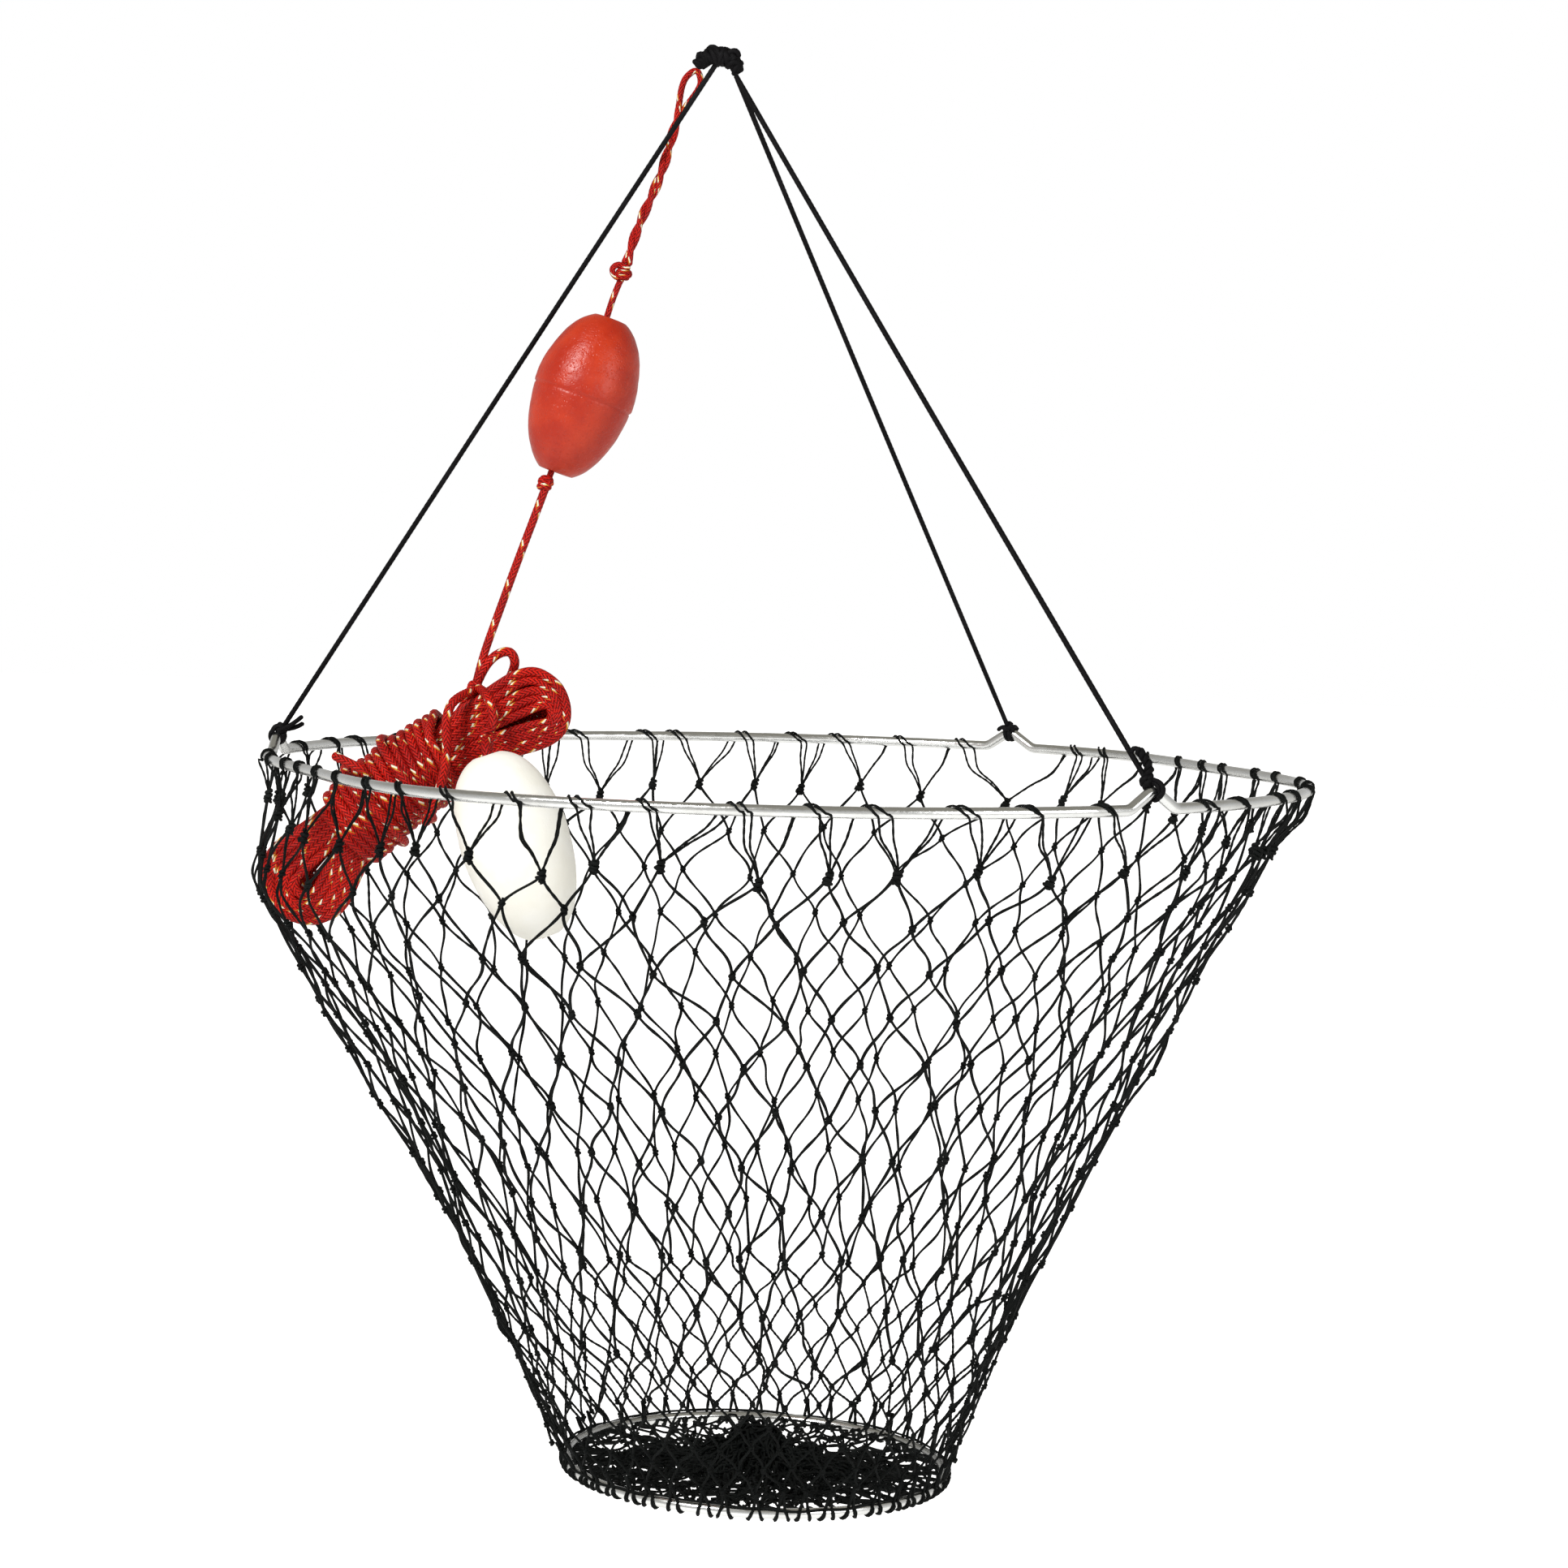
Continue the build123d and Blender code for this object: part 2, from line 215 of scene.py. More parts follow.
class Strands:
    """Tubes gathered into one mesh, with a map along and around each tube."""

    def __init__(self):
        self.points, self.faces, self.maps = [], [], []
        self.count = 0

    def tube(self, path, radius, sides=6, plies=0, depth=0.0, pitch=6.0, round_ends=False):
        """One tube along a line. Plies are the lobes of its section, which turn once in each pitch."""
        path = np.asarray(path, float)
        radii = np.full(len(path), float(radius)) if np.isscalar(radius) else np.asarray(radius, float)
        if round_ends:
            first, last = unit(path[0] - path[1]) * radii[0], unit(path[-1] - path[-2]) * radii[-1]
            path = np.vstack([path[0] + first * 0.75, path[0] + first * 0.45, path,
                              path[-1] + last * 0.45, path[-1] + last * 0.75])
            caps = np.array([0.45, 0.8])
            radii = np.concatenate([caps * radii[0], radii, caps[::-1] * radii[-1]])
        rings = len(path)
        tangents = directions(path)
        side = np.cross(tangents[0], (0.0, 0.0, 1.0))
        if np.linalg.norm(side) < 0.1:
            side = np.cross(tangents[0], (1.0, 0.0, 0.0))
        normals = np.empty_like(path)
        for i in range(rings):
            side = side - tangents[i] * np.dot(side, tangents[i])
            side = side / sqrt(np.dot(side, side))
            normals[i] = side
        across = np.cross(tangents, normals)
        along = arc_lengths(path)
        turns = np.linspace(0, 2 * pi, sides, endpoint=False)
        swell = 1 + depth * np.cos(plies * (turns[None, :] - 2 * pi * along[:, None] / pitch))
        reach = radii[:, None] * swell
        skin = path[:, None, :] + (reach * np.cos(turns))[:, :, None] * normals[:, None, :]
        skin += (reach * np.sin(turns))[:, :, None] * across[:, None, :]
        v = np.arange(sides) / sides
        corner_u = np.stack([along[:-1], along[:-1], along[1:], along[1:]], axis=1)
        corner_u = np.repeat(corner_u[:, None], sides, axis=1)
        corner_v = np.stack([v, v + 1 / sides, v + 1 / sides, v], axis=1)
        corner_v = np.repeat(corner_v[None], rings - 1, axis=0)
        self.points.append(skin.reshape(-1, 3))
        self.faces += joined(rings, sides, self.count)
        rim = self.count + np.arange(sides)
        self.faces += [rim[::-1].tolist(), (rim + (rings - 1) * sides).tolist()]
        self.maps.append(np.stack([corner_u.ravel() * MM, corner_v.ravel()], axis=1))
        for end in (0, -1):
            self.maps.append(np.stack([np.full(sides, along[end] * MM), v], axis=1))
        self.count += rings * sides

    def lay(self, points, samples, step, radius, **looks):
        """A tube along the smooth line through some points."""
        self.tube(even(curved(points, samples), step), radius, **looks)

    def build(self, name, material):
        piece = mesh_object(name, np.vstack(self.points), self.faces, material)
        layer = piece.data.uv_layers.new(name="strand")
        layer.data.foreach_set("uv", np.vstack(self.maps).astype(np.float32).ravel())
        return piece


# ---- materials


class Nodes:
    """The node tree of a new material or world, with short calls for the nodes used here."""

    def __init__(self, name, owners=bpy.data.materials, shader="Principled BSDF"):
        self.owner = owners.new(name)
        self.owner.use_nodes = True
        self.tree = self.owner.node_tree
        self.shader = self.tree.nodes[shader]

    def feed(self, socket, value):
        """A plain value goes on the socket itself and a node's output is linked to it."""
        if isinstance(value, (int, float, tuple)):
            socket.default_value = value
        elif value is not None:
            self.tree.links.new(value, socket)

    def add(self, kind, inputs=None, **settings):
        """A new node with its settings and with what feeds its inputs."""
        node = self.tree.nodes.new("ShaderNode" + kind)
        for key, value in settings.items():
            setattr(node, key, value)
        for socket, value in (inputs or {}).items():
            self.feed(node.inputs[socket], value)
        return node

    def math(self, operation, a, b=None):
        return self.add("Math", {0: a, 1: b}, operation=operation).outputs[0]

    def times(self, a, b):
        return self.math("MULTIPLY", a, b)

    def plus(self, a, b):
        return self.math("ADD", a, b)

    def minus(self, a, b):
        return self.math("SUBTRACT", a, b)

    def mix(self, factor, first, second):
        """A mix of two colours."""
        return self.add("Mix", {0: factor, 6: first, 7: second}, data_type="RGBA").outputs[2]

    def place(self, kind="Object"):
        return self.add("TexCoord").outputs[kind]

    def seen(self):
        """One where the camera looks straight at the surface, and nought for its light on other things."""
        return self.add("LightPath").outputs["Is Camera Ray"]

    def noise(self, scale, detail=3.0, roughness=0.55, vector=None):
        source = vector or self.place()
        inputs = {"Vector": source, "Scale": scale, "Detail": detail, "Roughness": roughness}
        return self.add("TexNoise", inputs).outputs["Fac"]

    def ramp(self, factor, low, high, out_low=0.0, out_high=1.0):
        inputs = {"Value": factor, "From Min": low, "From Max": high, "To Min": out_low, "To Max": out_high}
        return self.add("MapRange", inputs, interpolation_type="SMOOTHSTEP").outputs[0]

    def strand_map(self):
        uv = self.add("UVMap", uv_map="strand").outputs[0]
        return self.add("SeparateXYZ", {0: uv}).outputs[:2]

    def bump(self, height, distance):
        return self.add("Bump", {"Strength": 1.0, "Distance": distance, "Height": height}).outputs[0]

    def finish(self, colour, roughness, normal=None, **others):
        inputs = {"Base_Color": colour, "Roughness": roughness, "Normal": normal, **others}
        for socket, value in inputs.items():
            self.feed(self.shader.inputs[socket.replace("_", " ")], value)
        return self.owner


def braid_height(nodes, carriers, pitch):
    """A round braid's relief: strands of two hands that pass over and under each other in twos.

    Returns the relief, the right-hand strands' phase and whether the right-hand strand is on top."""
    u, v = nodes.strand_map()
    lead = nodes.math("DIVIDE", u, pitch)
    right = nodes.times(nodes.plus(v, lead), float(carriers))
    left = nodes.times(nodes.minus(v, lead), float(carriers))
    steps = nodes.plus(nodes.math("FLOOR", right), nodes.math("FLOOR", left))
    over = nodes.math("LESS_THAN", nodes.math("FLOORED_MODULO", steps, 4.0), 1.5)

    def crown(phase):
        centred = nodes.minus(nodes.math("FRACT", phase), 0.5)
        return nodes.minus(1.0, nodes.times(nodes.times(centred, centred), 4.0))

    upper = nodes.times(crown(right), over)
    lower = nodes.times(crown(left), nodes.minus(1.0, over))
    return nodes.plus(upper, lower), right, over


def rope_material():
    """Red polypropylene braid with one white and yellow tracer strand, and painted shade in the grooves
    between its strands.
    """
    carriers, pitch = 8, 24 * MM
    nodes = Nodes("float_rope")
    relief, right, over = braid_height(nodes, carriers, pitch)
    strand = nodes.math("FLOORED_MODULO", right, float(carriers))
    on_white = nodes.times(nodes.math("LESS_THAN", strand, 0.62), over)
    past_white = nodes.math("GREATER_THAN", strand, 0.62)
    before_red = nodes.math("LESS_THAN", strand, 1.15)
    on_yellow = nodes.times(nodes.times(past_white, before_red), over)
    blotch = nodes.ramp(nodes.noise(60.0), 0.35, 0.7)
    red = nodes.mix(blotch, (0.44, 0.0035, 0.0018, 1), (0.68, 0.011, 0.0035, 1))
    # Painted shade: where the braid's relief is low, between the strands, the red is darkened towards a
    # deep red-black.
    groove = nodes.ramp(relief, 0.1, 1.0)
    painted_groove_shade = nodes.mix(groove, (0.075, 0.0008, 0.0006, 1), red)
    fibre = nodes.noise(900.0, detail=2.0)
    frayed = nodes.mix(nodes.ramp(fibre, 0.45, 0.8, 0.0, 0.25), painted_groove_shade, (0.74, 0.04, 0.016, 1))
    yellow = nodes.mix(on_yellow, frayed, (0.85, 0.40, 0.035, 1))
    colour = nodes.mix(on_white, yellow, (0.90, 0.84, 0.66, 1))
    rough = nodes.ramp(fibre, 0.3, 0.7, 0.42, 0.62)
    height = nodes.plus(relief, nodes.times(fibre, 0.25))
    return nodes.finish(colour, rough, nodes.bump(height, 0.5 * MM), Specular_IOR_Level=0.2)


def twine_material(name, colour, twist):
    """Black laid twine: plies and fibres in relief, dusty on their crowns."""
    nodes = Nodes(name)
    u, v = nodes.strand_map()
    turns = nodes.plus(nodes.times(v, 2.0), nodes.math("DIVIDE", u, twist))
    lay = nodes.math("SINE", nodes.times(turns, 2 * pi))
    fibre = nodes.noise(1400.0, detail=2.0)
    dust = nodes.ramp(nodes.noise(35.0), 0.45, 0.75)
    pale = tuple(min(1.0, c * 2.2 + 0.003) for c in colour) + (1,)
    base = nodes.mix(dust, colour + (1,), pale)
    worn = tuple(3.0 * c for c in colour) + (1,)
    shown = nodes.mix(nodes.ramp(fibre, 0.5, 0.85, 0.0, 0.5), base, worn)
    rough = nodes.ramp(fibre, 0.3, 0.7, 0.6, 0.8)
    height = nodes.plus(nodes.times(lay, 0.6), nodes.times(fibre, 0.7))
    return nodes.finish(shown, rough, nodes.bump(height, 0.16 * MM), Specular_IOR_Level=0.12)


def wire_material():
    """Bright galvanised wire: fine drawing marks, duller patches and small stains."""
    nodes = Nodes("wire")
    stretch = nodes.add("Mapping", {"Vector": nodes.place(), "Scale": (1.0, 1.0, 9.0)})
    marks = nodes.noise(260.0, detail=4.0, roughness=0.7, vector=stretch.outputs[0])
    patches = nodes.ramp(nodes.noise(28.0, detail=4.0), 0.42, 0.68)
    stains = nodes.ramp(nodes.noise(150.0, detail=5.0, roughness=0.7), 0.62, 0.74)
    metal = nodes.mix(patches, (0.90, 0.91, 0.90, 1), (0.78, 0.78, 0.76, 1))
    colour = nodes.mix(nodes.times(stains, 0.35), metal, (0.27, 0.27, 0.24, 1))
    rough = nodes.plus(nodes.ramp(marks, 0.3, 0.7, 0.13, 0.24), nodes.times(patches, 0.08))
    return nodes.finish(colour, rough, nodes.bump(marks, 0.02 * MM), Metallic=1.0)


def foam_material(name, deep, light, roughness, gloss, relief):
    """Moulded foam: a faint skin, pinholes, scuffs and mottled colour."""
    nodes = Nodes(name)
    mottle = nodes.ramp(nodes.noise(45.0, detail=5.0), 0.35, 0.7)
    colour = nodes.mix(mottle, deep + (1,), light + (1,))
    cells = nodes.add("TexVoronoi", {"Vector": nodes.place(), "Scale": 520.0}, feature="F1")
    pores = nodes.ramp(cells.outputs["Distance"], 0.05, 0.4)
    grain = nodes.noise(260.0, detail=4.0)
    scuff = nodes.ramp(nodes.noise(120.0, detail=6.0, roughness=0.75), 0.60, 0.72)
    scuffed = tuple(min(1, 1.25 * c + 0.02) for c in light) + (1,)
    colour = nodes.mix(nodes.times(scuff, 0.35), colour, scuffed)
    height = nodes.plus(nodes.times(pores, 0.35), grain)
    shine = nodes.ramp(grain, 0.3, 0.7, roughness - 0.06, roughness + 0.08)
    rough = nodes.plus(shine, nodes.times(scuff, 0.12))
    return nodes.finish(colour, rough, nodes.bump(height, relief * MM), Specular_IOR_Level=gloss)


ROPE_LOOK = rope_material()
TWINE_LOOK = twine_material("net_twine", (0.0024, 0.0031, 0.0029), 5.2 * MM)
CORD_LOOK = twine_material("bridle_cord", (0.0022, 0.0019, 0.0024), 9.0 * MM)
WIRE_LOOK = wire_material()
RED_LOOK = foam_material("red_foam", (0.42, 0.020, 0.004), (0.54, 0.038, 0.008), 0.34, 0.42, 0.4)
WHITE_LOOK = foam_material("white_foam", (0.95, 0.93, 0.84), (0.98, 0.97, 0.91), 0.5, 0.4, 0.12)


def settle(piece, body, slot, *replaced):
    """Says which body a piece moves with and the CAD nodes it stands for; its finish slot is not used."""
    if body:
        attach(piece, body)
    if replaced:
        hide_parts(*replaced)
    return piece


# ---- camera, light and stage

CAMERA_AT = (0.0440, -2.1144, -0.2530)
CAMERA_PAN = -0.0013
CAMERA_TILT = -0.0719
CAMERA_ROLL = -0.0245
CAMERA_LENS = 85.7
FLOOR_LEVEL = -1.30
FLOOR_GLOW = 0.35  # light that the floor sends up, as a share of its look


def camera():
    """The viewpoint: level with the basket's middle, a little turned on its side."""
    ahead = Vector((-sin(CAMERA_PAN), cos(CAMERA_PAN), 0)) * cos(CAMERA_TILT)
    ahead.z = sin(CAMERA_TILT)
    level = Vector((cos(CAMERA_PAN), sin(CAMERA_PAN), 0))
    upright = level.cross(ahead)
    right = level * cos(CAMERA_ROLL) - upright * sin(CAMERA_ROLL)
    up = level * sin(CAMERA_ROLL) + upright * cos(CAMERA_ROLL)
    data = bpy.data.cameras.new("camera")
    data.lens = CAMERA_LENS
    data.clip_end = 60
    cam = add_object("camera", data)
    cam.matrix_world = Matrix.Translation(CAMERA_AT) @ Matrix((right, up, -ahead)).transposed().to_4x4()
    bpy.context.scene.camera = cam


def area_light(name, at, aim, size, power):
    data = bpy.data.lights.new(name, "AREA")
    data.size = size
    data.energy = power
    lamp = add_object(name, data)
    lamp.location = at
    lamp.rotation_mode = "QUATERNION"
    lamp.rotation_quaternion = (Vector(aim) - Vector(at)).to_track_quat("-Z", "Y")


def white_room():
    """A world that is white to the eye and softer as light: bright round the horizon, dimmer above."""
    nodes = Nodes("white_room", bpy.data.worlds, "Background")
    split = nodes.add("SeparateXYZ", {0: nodes.place("Generated")})
    height = nodes.add("MapRange", {"Value": split.outputs["Z"], "From Max": 0.7})
    light = nodes.mix(height.outputs[0], (0.58, 0.58, 0.58, 1), (0.24, 0.23, 0.20, 1))
    nodes.feed(nodes.shader.inputs["Color"], nodes.mix(nodes.seen(), light, (1, 1, 1, 1)))
    bpy.context.scene.world = nodes.owner


def stage():
    """A key and a fill light in a white room, and a pale floor well below the trap."""
    bpy.context.scene.view_settings.view_transform = "Standard"
    white_room()
    middle = (0.04, 0, -0.35)
    area_light("key", (-1.2, -1.7, 1.3), middle, 0.7, 56)
    area_light("fill", (1.8, -1.6, 0.2), middle, 1.4, 15)
    bpy.ops.mesh.primitive_plane_add(size=40, location=(0, 0, FLOOR_LEVEL))
    floor = bpy.context.object
    floor.name = "floor"
    nodes = Nodes("floor")
    glow = nodes.ramp(nodes.seen(), 0.0, 1.0, FLOOR_GLOW, 1.0)
    floor.data.materials.append(nodes.finish(
        (0.93, 0.93, 0.93, 1), 0.9, Emission_Color=(1, 1, 1, 1), Emission_Strength=glow,
    ))


camera()
stage()

for ring in ("top_ring", "base_ring"):
    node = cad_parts[ring]
    node.data.materials.clear()
    node.data.materials.append(WIRE_LOOK)

# ---- the net

TWINE = 0.8  # radius of the single twine
DOUBLED = 0.66  # radius of each twine of a doubled mesh
COLUMNS = 48
WALL = np.array([  # height, radius and sideways shift of the sagging wall
    (-5.2, 299.5, 0.0), (-66.0, 279.4, -15.0), (-110.0, 254.0, -16.5),
    (-190.0, 209.0, -11.3), (-292.0, 158.5, -7.8), (-391.4, 113.6, BASE_SHIFT),
])
WALL_LINE = curved(WALL, 12)
FLATS_FADE = 60.0  # below the ring, the flats even out over this height
COARSE_ROWS = 11
FINE_ROWS = 6
FIRST_ROW = -33.0
FINE_STEP = 13.2
NET_INSET = 1.2  # the twine lies this far inside the wall's outer face
PUCKER = 9.0  # the first knots are drawn up beside the left kink by this much
PUCKER_AT = 178.0  # at this angle
BAR_LOOKS = {"sides": 6, "plies": 2, "depth": 0.16, "pitch": 5.4}
HEAD_LOOKS = {"sides": 6, "plies": 2, "depth": 0.16, "pitch": 4.6}
LACE_LOOKS = {"sides": 6, "plies": 2, "depth": 0.14, "pitch": 5.0}
KINKS = {"left": 170.0, "back": 60.7, "front": -50.9}
KINK_REACH = 22.0  # half of the ring's length that a kink takes up
HITCHES = {("front", "back"): 15, ("back", "left"): 15, ("left", "front"): 18}


def wall_radius(turn, height):
    fade = min(max(0.0, 1 - (WALL[0][0] - height) / FLATS_FADE), 1.0)
    return np.interp(-height, -WALL_LINE[:, 0], WALL_LINE[:, 1]) - flattening(turn) * fade


def on_wall(turn, height, out=0.0):
    """A point on the wall of the net, by its angle and height."""
    radius = wall_radius(turn, height) - NET_INSET + out
    shift = np.interp(-height, -WALL_LINE[:, 0], WALL_LINE[:, 2])
    return np.array([radius * cos(turn) + shift, radius * sin(turn), height])


def row_height(row):
    if row < COARSE_ROWS:
        return FIRST_ROW - 24.5 * row - 0.3 * row * row
    return row_height(COARSE_ROWS - 1) - FINE_STEP * (row - COARSE_ROWS + 1)


def hitch_turns():
    """Where the net's head meshes pass over the top ring, spread unevenly along each arc."""
    turns = []
    margin = KINK_REACH / TOP_RADIUS
    for (first, second), count in HITCHES.items():
        start, end = radians(KINKS[first]), radians(KINKS[second])
        if end < start:
            end += 2 * pi
        start, end = start + margin, end - margin
        for step in range(count):
            shift = random.uniform(-0.24, 0.24)
            turns.append(start + (end - start) * (step + 0.5 + shift) / count)
    return np.array(turns)


HITCH_TURNS = hitch_turns()
FIRST_TURNS = (HITCH_TURNS + np.append(HITCH_TURNS[1:], HITCH_TURNS[0] + 2 * pi)) / 2


def knot_grid():
    """Angle and height of every knot of the wall, row by row."""
    grid = []
    even_start = FIRST_TURNS.mean() - pi * (COLUMNS - 1) / COLUMNS
    for row in range(COARSE_ROWS + FINE_ROWS):
        half = 0.5 * (row % 2)
        order = exp(-row / 3.0)
        knots = []
        for column in range(COLUMNS):
            following = FIRST_TURNS[(column + 1) % COLUMNS] + 2 * pi * ((column + 1) // COLUMNS)
            near = (1 - half) * FIRST_TURNS[column] + half * following
            regular = even_start + 2 * pi * (column + half) / COLUMNS
            radius = wall_radius(regular, row_height(row))
            loose = 3.2 if row < COARSE_ROWS else 1.4
            turn = order * near + (1 - order) * regular + random.gauss(0, loose) / radius
            height = row_height(row) + random.gauss(0, 0.9 * loose if row == 0 else 0.55 * loose)
            height += PUCKER * order * exp(-((degrees(turn) - PUCKER_AT) / 24) ** 2)
            ripple = 2.4 * sin(9 * turn + 0.02 * height) + 2.0 * sin(14 * turn - 0.03 * height)
            knots.append((turn, height, ripple * smooth(row / 3) + random.gauss(0, 0.5 * loose)))
        grid.append(knots)
    return grid


KNOTS = knot_grid()


def bar(start, end, wobble):
    """The line of one mesh bar between two knots, which leaves each knot a little upright."""
    (turn_a, high, out_a), (turn_b, low, out_b) = start, end
    drop = high - low
    phase, swing = random.uniform(0, 2 * pi), random.gauss(0, wobble)
    out_swing = random.gauss(0, 0.6 * wobble)
    line = []
    for t in np.linspace(0, 1, 13):
        slant = 3 * t * (1 - t) ** 2 * 0.2 + 3 * t * t * (1 - t) * 0.8 + t**3
        fall = 3 * t * (1 - t) ** 2 * 0.36 + 3 * t * t * (1 - t) * 0.64 + t**3
        height = high - drop * fall
        radius = wall_radius(turn_a, height)
        sway = swing * sin(pi * t) * cos(pi * t + phase)
        turn = turn_a + (turn_b - turn_a) * slant + sway / radius
        line.append(on_wall(turn, height, out_a + (out_b - out_a) * t + out_swing * sin(pi * t)))
    return np.array(line)


def knot_line(centre, up, width, height, turns, steps=8):
    """A tight coil about a direction, as the wraps of a mesh knot."""
    up = unit(up)
    side, front = square_to(up, (0.31, 0.87, 0.12))
    start = random.uniform(0, 2 * pi)
    lean = random.uniform(-0.5, 0.5)
    line = []
    for t in np.linspace(0, 1, int(turns * steps) + 1):
        turn = start + 2 * pi * turns * t
        rise = height * (t - 0.5) + lean * width * cos(turn)
        reach = width * (0.72 + 0.28 * sin(pi * t))
        line.append(centre + up * rise + round_about(side, front, turn, reach))
    return np.array(line)


def net_wall():
    """The knotted wall, in four sectors so that no mesh is too heavy."""
    sectors = [Strands() for _ in range(4)]
    for row, knots in enumerate(KNOTS):
        fine = row >= COARSE_ROWS
        for column, (turn, height, out) in enumerate(knots):
            strands = sectors[int(turn % (2 * pi) / (2 * pi) * 4) % 4]
            centre = on_wall(turn, height, out)
            up = unit(on_wall(turn, height + 4) - on_wall(turn, height - 4))
            if row == 0:
                strands.tube(knot_line(centre, up, 1.5, 6.5, 2.6), 1.2, sides=7)
                hitch = knot_line(centre - up * 2.0, up + (0.5, 0.3, 0), 2.5, 2.0, 1.2)
                strands.tube(hitch, 0.85, sides=6)
            elif fine:
                strands.tube(knot_line(centre, up, 0.95, 2.6, 1.7, steps=7), 0.9, sides=6)
            else:
                strands.tube(knot_line(centre, up, 1.15, 3.8, 1.9), 1.05, sides=6)
            if row + 1 == len(KNOTS):
                continue
            for step in (0, 1):
                other = column + step - 1 + row % 2
                extra = 2 * pi * (other // COLUMNS)
                below = KNOTS[row + 1][other % COLUMNS]
                line = bar((turn, height, out), (below[0] + extra, *below[1:]), 0.7 if fine else 1.5)
                strands.tube(line, 0.7 if fine else TWINE, **BAR_LOOKS)
    names = ("back_right", "back_left", "front_left", "front_right")
    for name, strands in zip(names, sectors):
        piece = settle(strands.build(f"net_wall_{name}", TWINE_LOOK), None, "net_twine", "net_wall")
        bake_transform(piece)


def around_wire(ring, turn, reach, angles, slide):
    """Points round a ring's wire: 0 degrees is over the top, negative inside and positive outside."""
    line = []
    for step, angle in enumerate(angles):
        lean = radians(angle)
        at = turn + slide * (step / (len(angles) - 1) - 0.5)
        line.append(ring(at, reach * sin(lean), reach * cos(lean)))
    return line


def head_mesh(strands, hitch, before, after, side):
    """One strand of a doubled head mesh: up inside the ring, slanting over it, and down outside."""
    apart = side * random.uniform(1.2, 2.6) / TOP_RADIUS
    bow = random.uniform(0.5, 2.5) + side * random.uniform(0.4, 1.8)
    slide = random.uniform(11.0, 19.0) / TOP_RADIUS
    angles = (-140, -95, -50, 0, 50, 95, 125)
    over = around_wire(on_top, hitch + apart, WIRE + DOUBLED + 0.12, angles, slide)
    start, end = hitch + apart - 0.5 * slide, hitch + apart + 0.5 * slide
    inner, outer = [], []
    for share, lift in ((0.0, 1), (0.10, 4), (0.42, 12), (0.80, 20)):
        inner.append(on_wall(before[0] + (start - before[0]) * share, before[1] + lift,
                             before[2] * (1 - share) + (side - bow) * share))
        outer.append(on_wall(after[0] + (end - after[0]) * share, after[1] + lift,
                             after[2] * (1 - share) + (4.5 + side + bow) * share))
    strands.lay([*inner, *over, *outer[::-1]], 5, 1.6, DOUBLED, **HEAD_LOOKS)


def net_head():
    """The doubled head meshes that hang the net on the top ring."""
    strands = Strands()
    for index, hitch in enumerate(HITCH_TURNS):
        before = KNOTS[0][index - 1]
        if index == 0:
            before = (before[0] - 2 * pi, *before[1:])
        after = KNOTS[0][index]
        for side in (-1, 1):
            head_mesh(strands, hitch, before, after, side)
    settle(strands.build("net_head_meshes", TWINE_LOOK), "rim", "net_twine", "head_loops")


net_wall()
net_head()

# ---- the gathered base

BASE_ROWS = 9
TUFT_RADIUS = 18.0
TUFT_HEIGHT = 22.0
BIGHTS = 54


def base_layer(strands, lift, outer, twine, swirl, back):
    """One layer of net drawn in from the base ring to the middle, crumpled as it closes up.

    It leaves out what lies further back than a given distance."""
    inner = 9.0
    rows = []
    for row in range(BASE_ROWS + 1):
        share = row / BASE_ROWS
        radius = outer + (inner - outer) * share**0.92
        half = 0.5 * (row % 2)
        knots = []
        for column in range(COLUMNS):
            turn = 2 * pi * (column + half) / COLUMNS + swirl * share + random.gauss(0, 2.2) / radius
            rise = lift * share + random.gauss(0, 1.2 + 1.8 * share)
            rise += 7.0 * smooth((32 - radius) / 24)
            knots.append(on_base(turn, radius + random.gauss(0, 2.6), max(rise, -1.6)))
        rows.append(knots)
    for row, knots in enumerate(rows):
        for column, centre in enumerate(knots):
            if centre[1] > back:
                continue
            if row:
                knot = knot_line(centre, (0.3, 0.2, 1), 1.5 * twine, 2.6, 1.7, steps=6)
                strands.tube(knot, twine, sides=5)
            if row == BASE_ROWS:
                continue
            for step in (0, 1):
                other = rows[row + 1][(column + step - 1 + row % 2) % COLUMNS]
                stray = [random.gauss(0, spread) for spread in (1.5, 1.5, 1.8)]
                strands.tube(curved([centre, (centre + other) / 2 + stray, other], 3), twine, sides=5)


def lacing(strands, column, side):
    """A strand from the wall's last knot, down outside the base ring, under it and in to the base."""
    last = KNOTS[-1][column]
    turn = last[0]
    step = pi / COLUMNS * side
    slide = random.uniform(2.0, 5.0) * side / BASE_RADIUS
    wrap = around_wire(on_foot, turn + step * 0.5, WIRE + 0.8, (40, 75, 115, 155, 200, 240, 280), slide)
    start = on_wall(turn, last[1], 0.5)
    end = on_base(turn + step, BASE_RADIUS - 9 + random.gauss(0, 1.5), random.uniform(-0.5, 1.5))
    strands.lay([start, *wrap, end], 4, 1.8, 0.92, **LACE_LOOKS)


def lacing_line(strands):
    """A strand that runs along the base ring under the turns, wandering round the wire."""
    line = []
    phase = random.uniform(0, 2 * pi)
    for turn in np.linspace(0, 2 * pi, 150):
        lean = radians(35 + 22 * sin(5 * turn + phase) + 9 * sin(23 * turn))
        reach = WIRE + 1.0
        line.append(on_foot(turn + phase, reach * sin(lean), reach * cos(lean)))
    strands.tube(line, 0.72, **LACE_LOOKS)


def on_dome(turn, climb, scale):
    """A point on the gathered net's dome: climb is 0 at its foot and 1 at its top."""
    reach = TUFT_RADIUS * scale * cos(climb * pi / 2) ** 0.7
    return on_base(turn, reach, 1.0 + TUFT_HEIGHT * scale * sin(climb * pi / 2))


